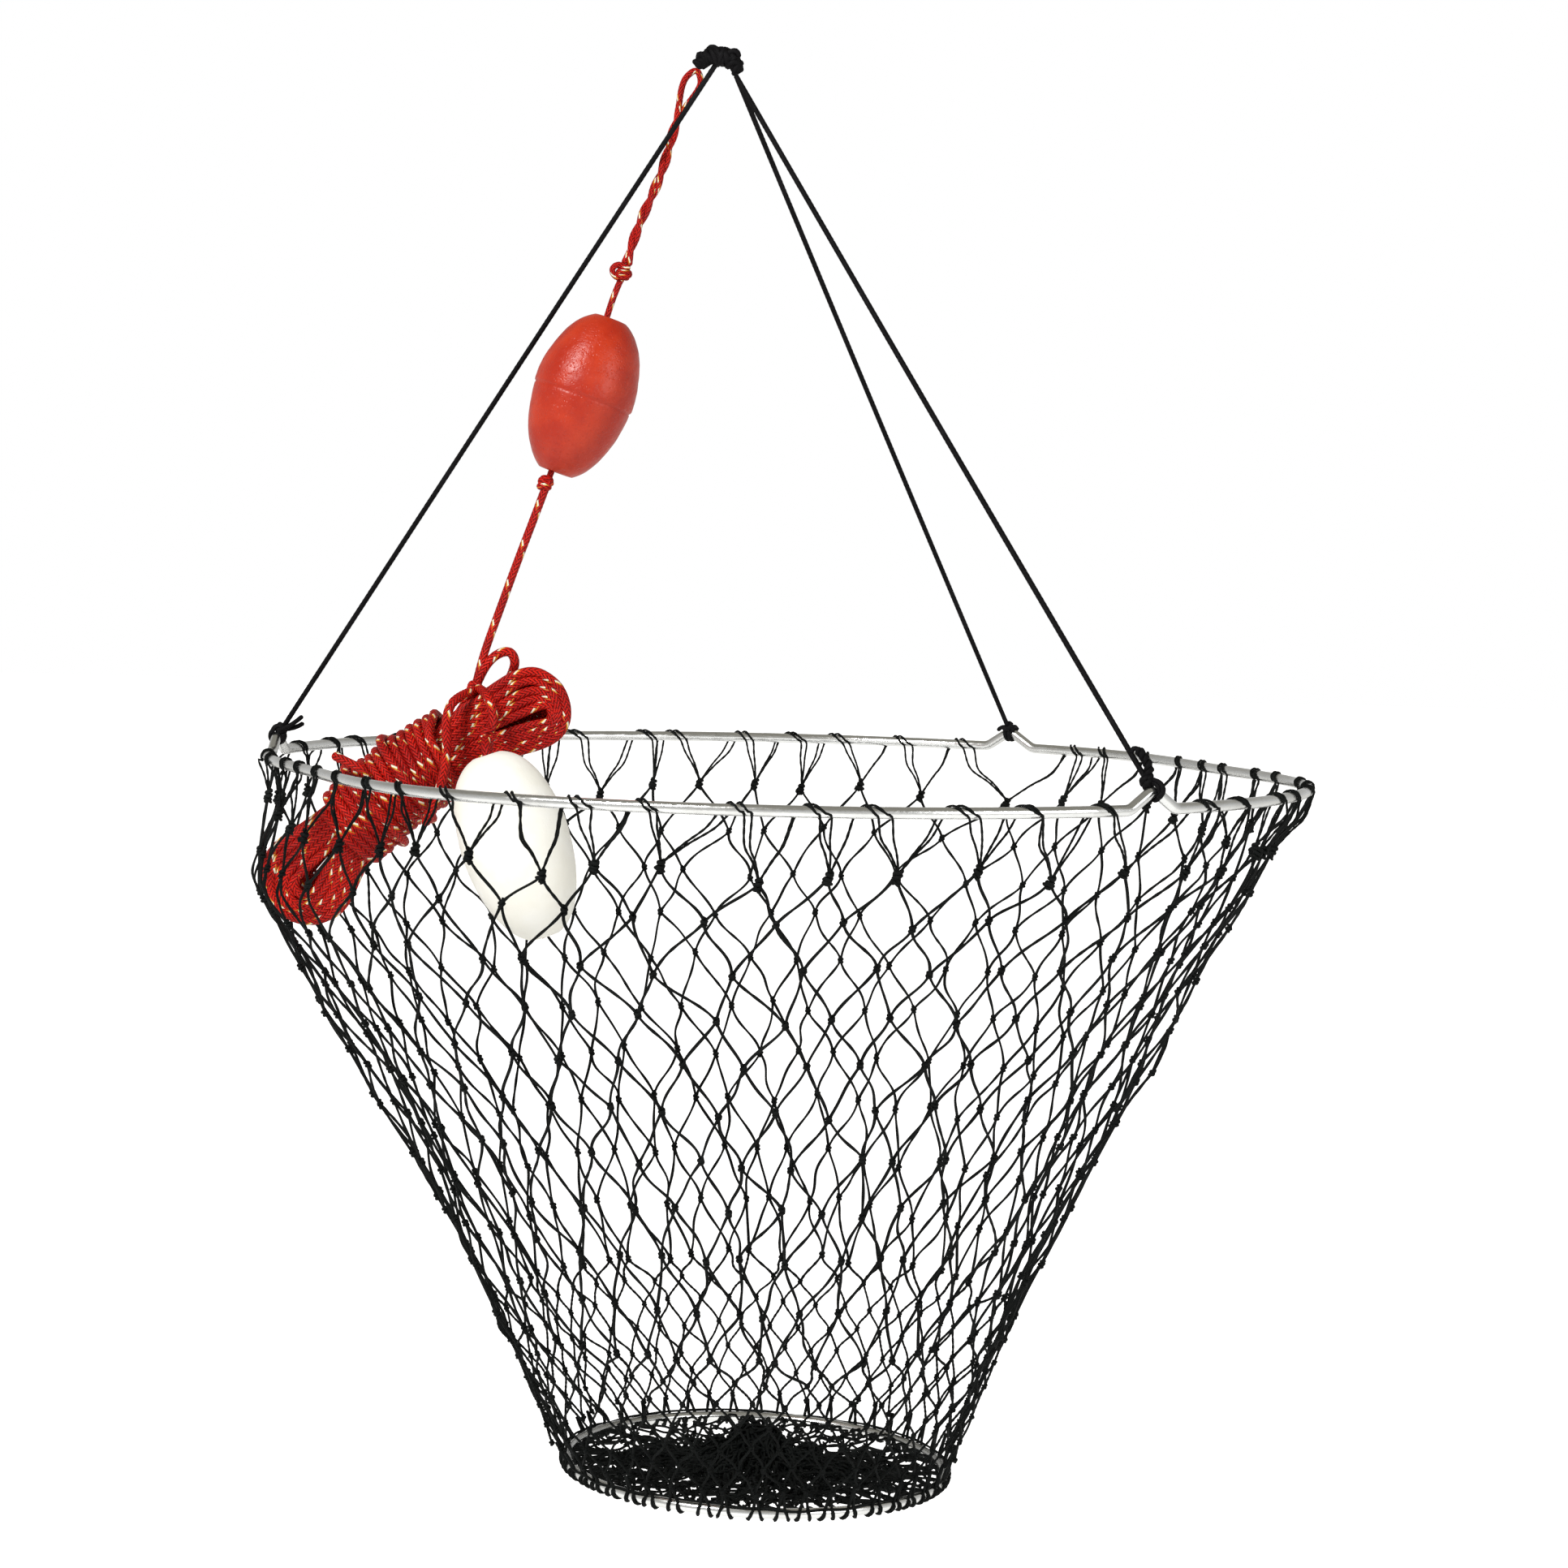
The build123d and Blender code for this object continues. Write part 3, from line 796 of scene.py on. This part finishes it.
def tuft(strands):
    """The drawn-up middle of the base: bights of twine crumpled into a low dome."""
    for bight in range(BIGHTS):
        turn = 2 * pi * bight / BIGHTS + random.gauss(0, 0.3)
        scale = random.uniform(0.72, 1.04)
        swing = random.uniform(0.9, 2.4) * random.choice((-1, 1))
        peak = random.uniform(0.45, 0.95)
        line = []
        for t in np.linspace(0, 1, 9):
            lump = scale * (1 + random.gauss(0, 0.055))
            at = turn + swing * t + random.gauss(0, 0.09)
            line.append(on_dome(at, peak * sin(pi * t) ** 0.8, lump))
        strands.lay(line, 4, 1.8, 0.9, **LACE_LOOKS)
    for level, width in ((4.0, 17.0), (7.0, 16.0), (13.0, 13.5), (17.0, 10.5), (20.0, 6.5)):
        line = knot_line(on_base(0, 0, level), (random.gauss(0, 0.2), 0.2, 1), width, 3.4, 1.6, steps=14)
        strands.tube(even(line, 2.2), 1.0, sides=6)


def base_net():
    for name, lift, inset, twine, swirl, back in (
        ("lower", 1.5, 5, 0.75, 0.25, 200),
        ("middle", 3.0, 8, 0.85, -0.3, 30),
        ("upper", 5.0, 26, 0.8, 0.6, 14),
    ):
        layer = Strands()
        base_layer(layer, lift, BASE_RADIUS - inset, twine, swirl, back)
        settle(layer.build(f"net_base_{name}", TWINE_LOOK), "base", "net_twine", "net_base")
    gather = Strands()
    tuft(gather)
    settle(gather.build("net_gather_tuft", TWINE_LOOK), "base", "net_twine", "gather_knot")
    laced = Strands()
    for column in range(COLUMNS):
        for side in (-1, 1):
            lacing(laced, column, side)
    lacing_line(laced)
    settle(laced.build("base_lacing_turns", TWINE_LOOK), "base", "net_twine", "base_lacing")


base_net()

# ---- cords and ropes

CORD = 1.5  # radius of the bridle cord
ROPE = 2.7  # radius of the float line
ROPE_LOOKS = {"sides": 12, "plies": 8, "depth": 0.03, "pitch": 24.0}
CORD_LOOKS = {"sides": 9, "plies": 3, "depth": 0.04, "pitch": 9.5}


def cord_piece(name, route, radius, looks, step, body, replaced):
    """A cord along the NURBS line of a route in millimetres."""
    line = even(spline_line(route), step)
    strands = Strands()
    strands.tube(line, radius, round_ends=True, **looks)
    bridle = looks is CORD_LOOKS
    piece = strands.build(name, CORD_LOOK if bridle else ROPE_LOOK)
    return settle(piece, body, "bridle_cord" if bridle else "float_rope", *replaced)


# Bridle

APEX_ARCH = from_row([(-11.5, 0, -2.6), (-7.0, 0, 1.2), (0.5, 0, 2.6), (7.5, 0, 0.4), (11.5, 0, -5.5)])
BRIDLE_STARTS = {
    "left": from_row((0.6, 0.0, 0.8)),
    "back": from_row((10.4, 3.0, -8.6)),
    "front": from_row((10.4, -2.6, -9.0)),
}
BRIDLE_BOWS = {"left": 0.3, "back": 0.4, "front": 0.5}
# For each knot, how far it stands off the wire, and the turns round the wire and their spread.
KNOT_SHAPES = {"left": (5.4, 1.6, 4.0), "back": (4.4, 2.4, 6.0), "front": (6.6, 1.0, 2.0)}
KINK_RISE = 9.0


def kink_top(side):
    return on_top(radians(KINKS[side]), 0.0, KINK_RISE)


def bridle_line(side):
    """A taut cord from the top knot down to its kink."""
    start, top = BRIDLE_STARTS[side], kink_top(side)
    way = unit(start - top)
    end = top + way * (KNOT_SHAPES[side][0] - 0.5)
    bow = np.cross(way, (0, 1, 0)) * BRIDLE_BOWS[side]
    marks = ((0, 0), (0.2, 0.7), (0.5, 1.2), (0.8, 0.7), (1, 0))
    route = [start + (end - start) * share + bow * bowed for share, bowed in marks]
    piece = cord_piece(
        f"bridle_cord_{side}", route, CORD, CORD_LOOKS, 1.2,
        "bridle_top", [f"bridle_line_{side}"],
    )
    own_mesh(piece)


def wrap_turns(start, end, radius, turns, wobble=0.3):
    """A coil of cord laid round the stretch from start to end."""
    side, front = square_to(unit(end - start), (0.2, 0.95, 0.1))
    line = []
    for t in np.linspace(0, 1, int(turns * 12) + 1):
        turn = 2 * pi * turns * t
        reach = radius + wobble * sin(5.3 * turn / 2 + 1.0)
        line.append(start + (end - start) * t + round_about(side, front, turn, reach))
    return line


def wire_hitch(side, turns, spread):
    """The cord's turns round the wire at the top of a kink."""
    top = kink_top(side)
    out = unit(top * (1, 1, 0))
    along = np.cross(UP, out)
    reach = WIRE + CORD * 0.85
    line = []
    for t in np.linspace(-0.5, 0.5, int(turns * 14) + 1):
        turn = 2 * pi * turns * t
        line.append(top + along * spread * t + round_about(UP, out, turn, reach))
    return line


def trefoil(centre, up, size, radius, stretch, turn):
    """The line of an overhand knot drawn tight about a rope."""
    up = unit(up)
    side, back = square_to(up, (0, 1, 0))
    line = []
    for t in np.linspace(0, 2 * pi, 64):
        a = (sin(t) + 2 * sin(2 * t)) / 3
        b = (cos(t) - 2 * cos(2 * t)) / 3
        a, b = a * cos(turn) - b * sin(turn), a * sin(turn) + b * cos(turn)
        line.append(centre + up * a * size * stretch + side * b * size + back * sin(3 * t) * radius)
    return np.array(line)


def beside(side, points):
    """Points by a bridle knot: along its line, to the right of it and towards the front."""
    top = kink_top(side)
    way = unit(BRIDLE_STARTS[side] - top)
    right = unit(np.cross((0, 1, 0), way))
    front = np.cross(way, right)
    return [top + way * along + right * aside + front * ahead for along, aside, ahead in points]


def plait(strands, line, radius, spread, pitch):
    """Two cords wound tightly about a line."""
    line = even(line, 1.1)
    ways = directions(line)
    across = np.cross(ways, (0.05, 1.0, 0.1))
    across /= np.linalg.norm(across, axis=1)[:, None]
    ahead = np.cross(ways, across)
    turn = 2 * pi * arc_lengths(line) / pitch
    for phase in (0.0, pi):
        cord = wound(line, across, ahead, spread, turn + phase)
        strands.tube(cord, radius, round_ends=True, **CORD_LOOKS)


def bridle_knot(side, stem, tails):
    """The knot of a bridle line on its kink: turns round the wire, a lumpy knot, a stem and cut ends."""
    lift, turns, spread = KNOT_SHAPES[side]
    strands = Strands()
    low, core, high = beside(side, [(lift + step, 0, 0) for step in (-2.4, 0, 2.4)])
    strands.lay(wire_hitch(side, turns, spread), 3, 1.2, CORD * 0.85, **CORD_LOOKS)
    strands.tube(even(trefoil(core, high - low, 2.7, 2.0, 1.0, 0.7), 0.9), CORD, **CORD_LOOKS)
    strands.lay(wrap_turns(low, high, 2.3, 1.8), 3, 1.2, CORD, **CORD_LOOKS)
    strands.tube(even(np.array([low, high]), 1.2), CORD * 1.5, **CORD_LOOKS)
    if stem:
        plait(strands, curved(beside(side, stem), 6), CORD * 1.02, 1.25, 7.0)
    for tail in tails:
        strands.lay(beside(side, tail), 5, 1.1, CORD * 0.9, round_ends=True, **CORD_LOOKS)
    settle(strands.build(f"bridle_tie_{side}", CORD_LOOK), "rim", "bridle_cord", f"bridle_knot_{side}")


for side_name in KINKS:
    bridle_line(side_name)
bridle_knot("left", [], [
    [(5, 0, -3), (8, 2, -4), (12, 4, -4), (16.5, 5.6, -4), (18, 6, -4)],
    [(5, 0, -1), (7.5, 3.5, -1.5), (11, 6.5, -2), (14.5, 8.5, -2)],
    [(7, -1, -2), (4, -4.0, -2), (1, -3.5, -3)],
])
bridle_knot("back", [], [
    [(5, 0, 0), (5.5, -3.5, 2), (4.5, -6, 2.5)],
    [(3, 0, 0), (2, 4.0, 2), (-1, 5.0, 2.5)],
])
FRONT_STEM = [(8.5, 2.0, -1.0), (12, 4.0, -1.0), (16, 4.8, -1.0), (20, 4.6, -1.0), (23.5, 4.2, -1.0)]
bridle_knot("front", FRONT_STEM, [
    [(23.5, 4.6, -1), (25.5, 2.6, -1), (24.5, 0.6, -1)],
    [(5, 3, -2), (1, 5, -3.5), (-3.5, 4.5, -4), (-5.5, 1.5, -3.5)],
])


def apex_knot():
    """The bight that the hook holds: a plait of cords bound solid with turns, and a cut end."""
    strands = Strands()
    arch = even(curved(APEX_ARCH, 10), 0.8)
    along = arc_lengths(arch)
    rise = np.cross(directions(arch), BACK)
    share = along / along[-1]
    swell = np.sin(pi * share)
    for strand in range(3):
        phase = 2 * pi * (strand / 3 + along / 15.0)
        line = wound(arch, BACK, rise, 1.5 + 1.2 * swell, phase)
        strands.tube(line, 1.9 + 0.8 * swell, round_ends=True, **CORD_LOOKS)
    for pitch, start in ((3.0, 0.0), (-9.0, 1.0), (12.0, 2.5)):
        phase = start + 2 * pi * (along + 0.8 * np.sin(along * 0.9)) / pitch
        bulge = 2.5 + 2.2 * swell + 0.6 * np.sin(share * 17.0 + start)
        line = even(wound(arch, BACK, rise, bulge, phase), 1.0)
        strands.tube(line, CORD * 1.05, round_ends=True, **CORD_LOOKS)
    stub = from_row([(4, -2, 3), (8, -3, 5.0), (10.5, -3, 4.6), (11.2, -2, 2.5)])
    strands.lay(stub, 5, 1.1, CORD * 1.1, round_ends=True, **CORD_LOOKS)
    settle(strands.build("apex_binding", CORD_LOOK), "bridle_top", "bridle_cord", "apex_knot")


apex_knot()

# Float line

LINE_TOP = np.array([-58.0, 14.0, 388.0])
TAUT = 1.8  # radius of the rope where it is pulled thin
LOWER_ROPE = 2.35
TAUT_LOOKS = {"sides": 12, "plies": 8, "depth": 0.03, "pitch": 20.0}
LINE_STOPPER = np.array([-135.5, 5.0, 158.5])
LINE_TIE = np.array([-174.0, 0.0, 41.0])
LINE_UP = unit(LINE_TOP - LINE_STOPPER)
EYE_KNOT = LINE_STOPPER + LINE_UP * 126.5
LINE_SIDE = unit(np.cross(LINE_UP, (0, 1, 0)))
LINE_FRONT = np.cross(LINE_SIDE, LINE_UP)


def rope_knot(name, centre, up, size, radius, body, node, loop=None, turn=0.0):
    """A knot in the rope: an overhand turn over a short coil, and a standing loop if it has one."""
    strands, way = Strands(), up * size
    strands.tube(even(trefoil(centre, up, size * 0.8, size * 0.45, 1.05, turn), 0.9), radius, **TAUT_LOOKS)
    coil = wrap_turns(centre - way * 0.8, centre + way * 0.8, size * 0.62, 2.4)
    strands.lay(coil, 3, 0.9, radius, **TAUT_LOOKS)
    core = np.array([centre - way * 1.1, centre, centre + way * 1.1])
    strands.tube(even(core, 0.9), radius * 1.15, **TAUT_LOOKS)
    if loop is not None:
        strands.lay(loop, 4, 1.0, radius, **TAUT_LOOKS)
    return settle(strands.build(name, ROPE_LOOK), body, "float_rope", node)


def float_line_eye():
    """The eye: up one leg, through the top knot and down the other, the legs twisted together."""
    reach = float(np.dot(LINE_TOP - EYE_KNOT, LINE_UP))
    marks = np.linspace(6.0, reach, 21)
    legs = []
    for hand in (0, 1):
        leg = []
        for mark in marks:
            share = (mark - marks[0]) / (marks[-1] - marks[0])
            turn = pi * hand + 2 * pi * 3.0 * min(share / 0.84, 1.0)
            spread = 1.45 + 3.2 * smooth((share - 0.82) / 0.14)
            wave = 0.9 * sin(3.1 * share * pi)
            middle = EYE_KNOT + LINE_UP * mark + LINE_SIDE * wave
            leg.append(middle + round_about(LINE_SIDE, LINE_FRONT, turn, spread))
        legs.append(leg)
    top = LINE_TOP + LINE_UP * 6.5
    cord_piece(
        "float_line_eye_rope", [*legs[0], top, *legs[1][::-1]], TAUT, TAUT_LOOKS, 1.3,
        "float_line", ["float_line_eye"],
    )


def float_line():
    float_line_eye()
    loop = [EYE_KNOT + LINE_UP * along + LINE_SIDE * aside - LINE_FRONT * 2
            for along, aside in ((3.5, 1.0), (3.0, 4.5), (0.0, 6.4), (-3.0, 4.6), (-4.0, 1.0))]
    eye = rope_knot("float_eye_knot", EYE_KNOT, LINE_UP, 4.4, 1.7, "float_line", "eye_knot", loop)
    bend = LINE_SIDE * 0.8
    stopper = rope_knot(
        "float_stopper_knot", LINE_STOPPER + bend, LINE_UP, 3.6, 2.0,
        "float_line", "stopper_knot", turn=0.9,
    )
    route = [EYE_KNOT - LINE_UP * 4, EYE_KNOT - LINE_UP * 14 + bend, EYE_KNOT - LINE_UP * 30,
             EYE_KNOT - LINE_UP * 75, LINE_STOPPER + LINE_UP * 18, LINE_STOPPER + LINE_UP * 4]
    cord_piece(
        "float_line_upper_rope", route, TAUT, TAUT_LOOKS, 1.3,
        "float_line", ["float_line_upper"],
    )
    route = [LINE_STOPPER - LINE_UP * 3, (-143, 4, 137), (-152, 3, 112), (-161.5, 2, 84), (-169, 1, 62),
             LINE_TIE + (1.0, 0, 4), LINE_TIE]
    lower = cord_piece(
        "float_line_lower_rope", route, LOWER_ROPE, ROPE_LOOKS, 1.3,
        None, ["float_line_lower"],
    )
    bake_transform(lower)


float_line()

# Floats

DISH_DEPTH = 2.6
BORE_DEPTH = 20.0  # how far into the float its bore is built
SEAM_FADE = 32.3  # the lip above the seam fades away over this height
EGG_RINGS = 161
EGG_SIDES = 72


def seam_relief(past):
    """A fine groove, and above it a lip that fades away, by how far up a float they are from its seam."""
    groove = 0.5 * exp(-((past / 0.6) ** 2))
    return 0.45 * smooth(past / 1.5) * (1 - smooth(past / SEAM_FADE)) - groove


def egg_profile(length, radius, seam, blunt, bore, dish):
    """A float's outline as reach and rise, from inside its lower hole to inside its upper one."""
    shell = []
    for turn in np.linspace(0, pi, EGG_RINGS)[1:-1]:
        reach = radius * sin(turn) ** blunt * (1 - 0.05 * cos(turn))
        rise = length * (1 - cos(turn)) / 2
        if seam:
            reach += seam_relief(rise - seam * length)
        if reach > dish:
            shell.append((reach, rise))
    hollow = [(dish * 0.9, -0.1), (dish * 0.72, 0.35), (bore + 1.2, DISH_DEPTH * 0.55), (bore, DISH_DEPTH)]
    low, high = shell[0][1], shell[-1][1]
    lower = [(reach, low + depth) for reach, depth in hollow[::-1]]
    upper = [(reach, high - depth) for reach, depth in hollow]
    return [(bore, BORE_DEPTH), *lower, *shell, *upper, (bore, length - BORE_DEPTH)]


def egg(name, bottom, top, radius, material, seam, blunt, bore, dish):
    """A moulded foam float: a lathed egg with a dished hole at each end and small dents."""
    up = unit(top - bottom)
    side, back = square_to(up, (0, 1, 0))
    profile = egg_profile(np.linalg.norm(top - bottom), radius, seam, blunt, bore, dish)
    verts = []
    for reach, rise in profile:
        for step in range(EGG_SIDES):
            turn = 2 * pi * step / EGG_SIDES
            outward = round_about(side, -back, turn)
            point = bottom + up * rise + outward * reach
            if reach > bore + 1.5:
                dent = 0.45 * noise.noise(Vector(point) * 0.05) + 0.16 * noise.noise(Vector(point) * 0.22)
                point = point + outward * dent
            verts.append(point)
    return mesh_object(name, verts, joined(len(profile), EGG_SIDES), material)


RED_BOTTOM = LINE_STOPPER + LINE_UP * 4.8
RED_LENGTH = 97.0
RED_TOP = RED_BOTTOM + LINE_UP * RED_LENGTH
WHITE_TOP = np.array([-163.0, -46.0, 8.0])
WHITE_BOTTOM = np.array([-127.0, -50.0, -94.0])
WHITE_UP = unit(WHITE_TOP - WHITE_BOTTOM)
TIE_KNOT = np.array([-165.0, -27.0, 17.0])


def floats():
    aside = LINE_SIDE * -2.2
    red = egg(
        "red_foam_float", RED_BOTTOM + aside, RED_TOP + aside, 28.4, RED_LOOK,
        seam=0.49, blunt=0.98, bore=5.3, dish=9.4,
    )
    settle(red, "red_float_body", "red_foam", "red_float")
    white = egg(
        "white_foam_float", WHITE_BOTTOM, WHITE_TOP, 30.5, WHITE_LOOK,
        seam=None, blunt=0.86, bore=3.4, dish=7.5,
    )
    settle(white, "white_float_body", "white_foam", "white_float")
    knot = rope_knot(
        "white_float_stopper", WHITE_BOTTOM + WHITE_UP * 4.5, WHITE_UP, 2.6, 1.9,
        "white_float_body", "white_float_knot",
    )
    route = [TIE_KNOT + (0.5, -4.0, -2.0), TIE_KNOT + (1.0, -9.0, -1.0),
             WHITE_TOP + WHITE_UP * 5 + (1.0, 3.0, 0), WHITE_TOP + WHITE_UP * 1.0,
             WHITE_TOP - WHITE_UP * 12, WHITE_TOP - WHITE_UP * 50,
             WHITE_BOTTOM + WHITE_UP * 14, WHITE_BOTTOM + WHITE_UP * 5]
    cord_piece(
        "white_float_rope", route, ROPE - 0.1, ROPE_LOOKS, 1.3,
        "white_float_body", ["white_float_cord"],
    )


floats()

# Hank

HANK_LOW = np.array([-263.5, 0.0, -67.0])
HANK_HIGH = np.array([-140.0, 0.0, 26.5])
HANK_BOW = 13.5
NESTED = 5
LAYERS = 4
LAYER_STEP = 4.9
# Each lobe: its axis, and how far the innermost turn and each further turn stand off its eye
# above the eye, round the end and below it.
LOW_LOBE = (unit((0.60, 0, 0.80)), (5.0, 14.0, 5.0), (5.8, 3.6, 4.7))
HIGH_LOBE = (unit((0.95, 0, 0.31)), (5.0, 12.0, 4.5), (5.7, 1.5, 2.8))
EYE_CLOSING = 2.8  # the inner turns of the back layers lie this much further in
END_CLOSING = 2.4  # and further again at the lobe's end
BUNDLE = 18.0
SIDE_STOPS = (0.14, 0.3, 0.5, 0.7, 0.86)
WRAPS = 15
WRAP_SPAN = (0.20, 0.68)
WRAP_RADIUS = 23.6
BACK_TURNS = 2.6  # over the wraps, on the way back to the cut tail


def hank_axis(t):
    """The hank's middle line, its direction and its upward normal, from the low lobe to the high one."""
    along = HANK_HIGH - HANK_LOW
    normal = unit(np.cross((0, -1, 0), along))
    point = HANK_LOW + along * t + normal * HANK_BOW * 4 * t * (1 - t)
    way = unit(along + normal * HANK_BOW * 4 * (1 - 2 * t))
    up = unit(np.cross((0, -1, 0), way))
    return point, way, up


def squeeze(t):
    return smooth(t / 0.22) * smooth((1 - t) / 0.26)


def lobe_reach(lobe, angle, nest):
    """How far a turn stands off a lobe's eye: 0 degrees is above the eye, 90 its end and 180 below it."""
    _, inner, step = lobe
    above, end = max(0.0, cos(angle)) ** 2, sin(angle) ** 2
    below = 1 - above - end
    return sum(share * (a + b * nest) for share, a, b in zip((above, end, below), inner, step))


def bundle_point(t, hand, nest, layer, stray):
    """A place in one straight side of the hank, drawn into the round bundle between the lobes."""
    point, _, up = hank_axis(t)
    lobe = LOW_LOBE if t < 0.5 else HIGH_LOBE
    radius = lobe_reach(lobe, 0.0 if hand > 0 else pi, nest)
    across, deep = hand * (nest + 0.36) / NESTED, layer / (LAYERS / 2)
    tight = squeeze(t)
    high = hand * radius * (1 - tight) + BUNDLE * across * sqrt(1 - deep * deep / 2) * tight
    depth = LAYER_STEP * layer * (1 - tight) + BUNDLE * deep * sqrt(1 - across * across / 2) * tight
    return point + up * (high + stray[0]) + np.array([0, depth + stray[1], 0])


def jitter():
    return random.gauss(0, 0.35), random.gauss(0, 0.35)


def lobe_points(lobe, centre, outward, nests, layers):
    """A turn's way round a lobe, from its upper side (outward 1) or from its lower side (outward -1)."""
    way = lobe[0] * outward
    up = unit(np.cross((0, -1, 0), lobe[0]))
    stretch, wide = random.gauss(0, 1.2), random.gauss(0, 0.5)
    points = []
    for step, angle in enumerate((10, 50, 90, 130, 170)):
        angle = radians(angle if outward > 0 else 180 - angle)
        share = smooth(step / 4)
        nest = nests[0] + (nests[1] - nests[0]) * share
        layer = layers[0] + (layers[1] - layers[0]) * share
        reach = lobe_reach(lobe, angle, nest + 0.25 * (layer % 2)) + wide
        closing = EYE_CLOSING * (1 + END_CLOSING * sin(angle) ** 2) * (1 - nest / NESTED)
        reach -= closing * max(0.0, layer)
        points.append(
            centre + up * reach * cos(angle) + way * (reach + stretch) * sin(angle)
            + np.array([0, LAYER_STEP * layer + random.gauss(0, 0.4), 0])
        )
    return points


def hank_turn(nests, layers):
    """One turn of the hank: along the top, round the high lobe, back, and round the low one."""
    nest, layer = nests[0], layers[0]
    points = [bundle_point(t, 1, nest, layer, jitter()) for t in SIDE_STOPS]
    points += lobe_points(HIGH_LOBE, HANK_HIGH, 1, (nest, nest), (layer, layer))
    points += [bundle_point(t, -1, nest, layer, jitter()) for t in SIDE_STOPS[::-1]]
    return points + lobe_points(LOW_LOBE, HANK_LOW, -1, nests, layers)


def hank_order():
    """Nest and layer of each turn, winding outwards and inwards in turn through the layers."""
    order = []
    for layer in range(LAYERS):
        nests = range(NESTED) if layer % 2 == 0 else range(NESTED - 1, -1, -1)
        order += [(nest, (LAYERS - 1) / 2 - layer) for nest in nests]
    return order


def wrap_point(t, turn, radius, lean=0.0):
    point, way, up = hank_axis(t)
    return point + round_about(up, -BACK, turn, radius) + way * lean * cos(turn + 0.6)


def hank_route():
    order = hank_order()
    route = [LINE_TIE, LINE_TIE + (-3, 6, -4), wrap_point(0.72, -0.7, 17.0)]
    for turn, (nest, layer) in enumerate(order):
        nest_after, layer_after = order[min(turn + 1, len(order) - 1)]
        route += hank_turn((nest, nest_after), (layer, layer_after))
    start, end = WRAP_SPAN
    per_turn = 12
    span = end - start
    for step in range(WRAPS * per_turn + 1):
        share = step / (WRAPS * per_turn)
        turn = 2 * pi * step / per_turn + 0.5
        radius = WRAP_RADIUS * (0.93 + 0.07 * smooth(share * 14)) + 0.5 * sin(2.7 * turn / 5)
        route.append(wrap_point(start + span * share, turn, radius, 2.2 + 1.1 * sin(share * 9)))
    for step in range(1, int(BACK_TURNS * per_turn) + 1):
        share = step / (BACK_TURNS * per_turn)
        turn = 2 * pi * step / per_turn + 0.5
        along = end - 0.02 - span * 0.82 * share
        route.append(wrap_point(along, turn, WRAP_RADIUS + 4.2, -5.0))
    return route


def hank():
    """The stowed rope, wound between two lobes and wrapped round its middle, as one line."""
    route = hank_route() + [(-231.0, -26.0, -5.0), (-238.0, -27.5, -2.0), (-249.0, -26.0, 3.0)]
    cord_piece(
        "hank_rope", route, ROPE, {"sides": 10}, 2.1,
        "rim", ["rope_hank", "hank_wrap"],
    )


def hank_ties():
    """The turns that make the float line fast: two strands in front, and a bight round the high lobe."""
    strand = [LINE_TIE + (1.0, -3.0, 0), (-183, -24, 38), (-187.5, -29, 27), (-186, -31.5, 13),
              (-187, -32, -3), (-190, -31, -14), (-193.5, -29, -25), (-198, -25, -33)]
    bight = [LINE_TIE, (-170, 0, 52), (-163, 1, 61), (-154.5, 1, 64), (-151, 2, 58), (-153, 6, 51),
             (-156, 18, 46), (-160, 27, 30), (-163, 26, 10), (-165, 14, -3), (-167, -6, -4), (-164, -22, 4),
             (-163, -27, 14)]
    front = [LINE_TIE + (2, -2, 1), (-166, -17, 41), (-161.5, -27, 32), (-160.5, -29.5, 24),
             (-163, -29.5, 18), (-165, -29, 14)]
    ties = (("strand", strand, "taut"), ("bight", bight, "loose"), ("front", front, "taut"))
    for name, route, lay in ties:
        cord_piece(
            f"hank_tie_{name}", route, ROPE, ROPE_LOOKS, 1.5,
            "rim", ["hank_tie"],
        )
    for name, place, up, radius, turn in (
        ("top", LINE_TIE, (0.5, 0, 1), 2.4, 0.4),
        ("front", TIE_KNOT + (1, -3, 0), (0.1, 0, 1), 2.3, 2.0),
    ):
        rope_knot(f"hank_tie_knot_{name}", place, unit(up), 3.8, radius, "rim", "hank_tie", turn=turn)


hank()
hank_ties()
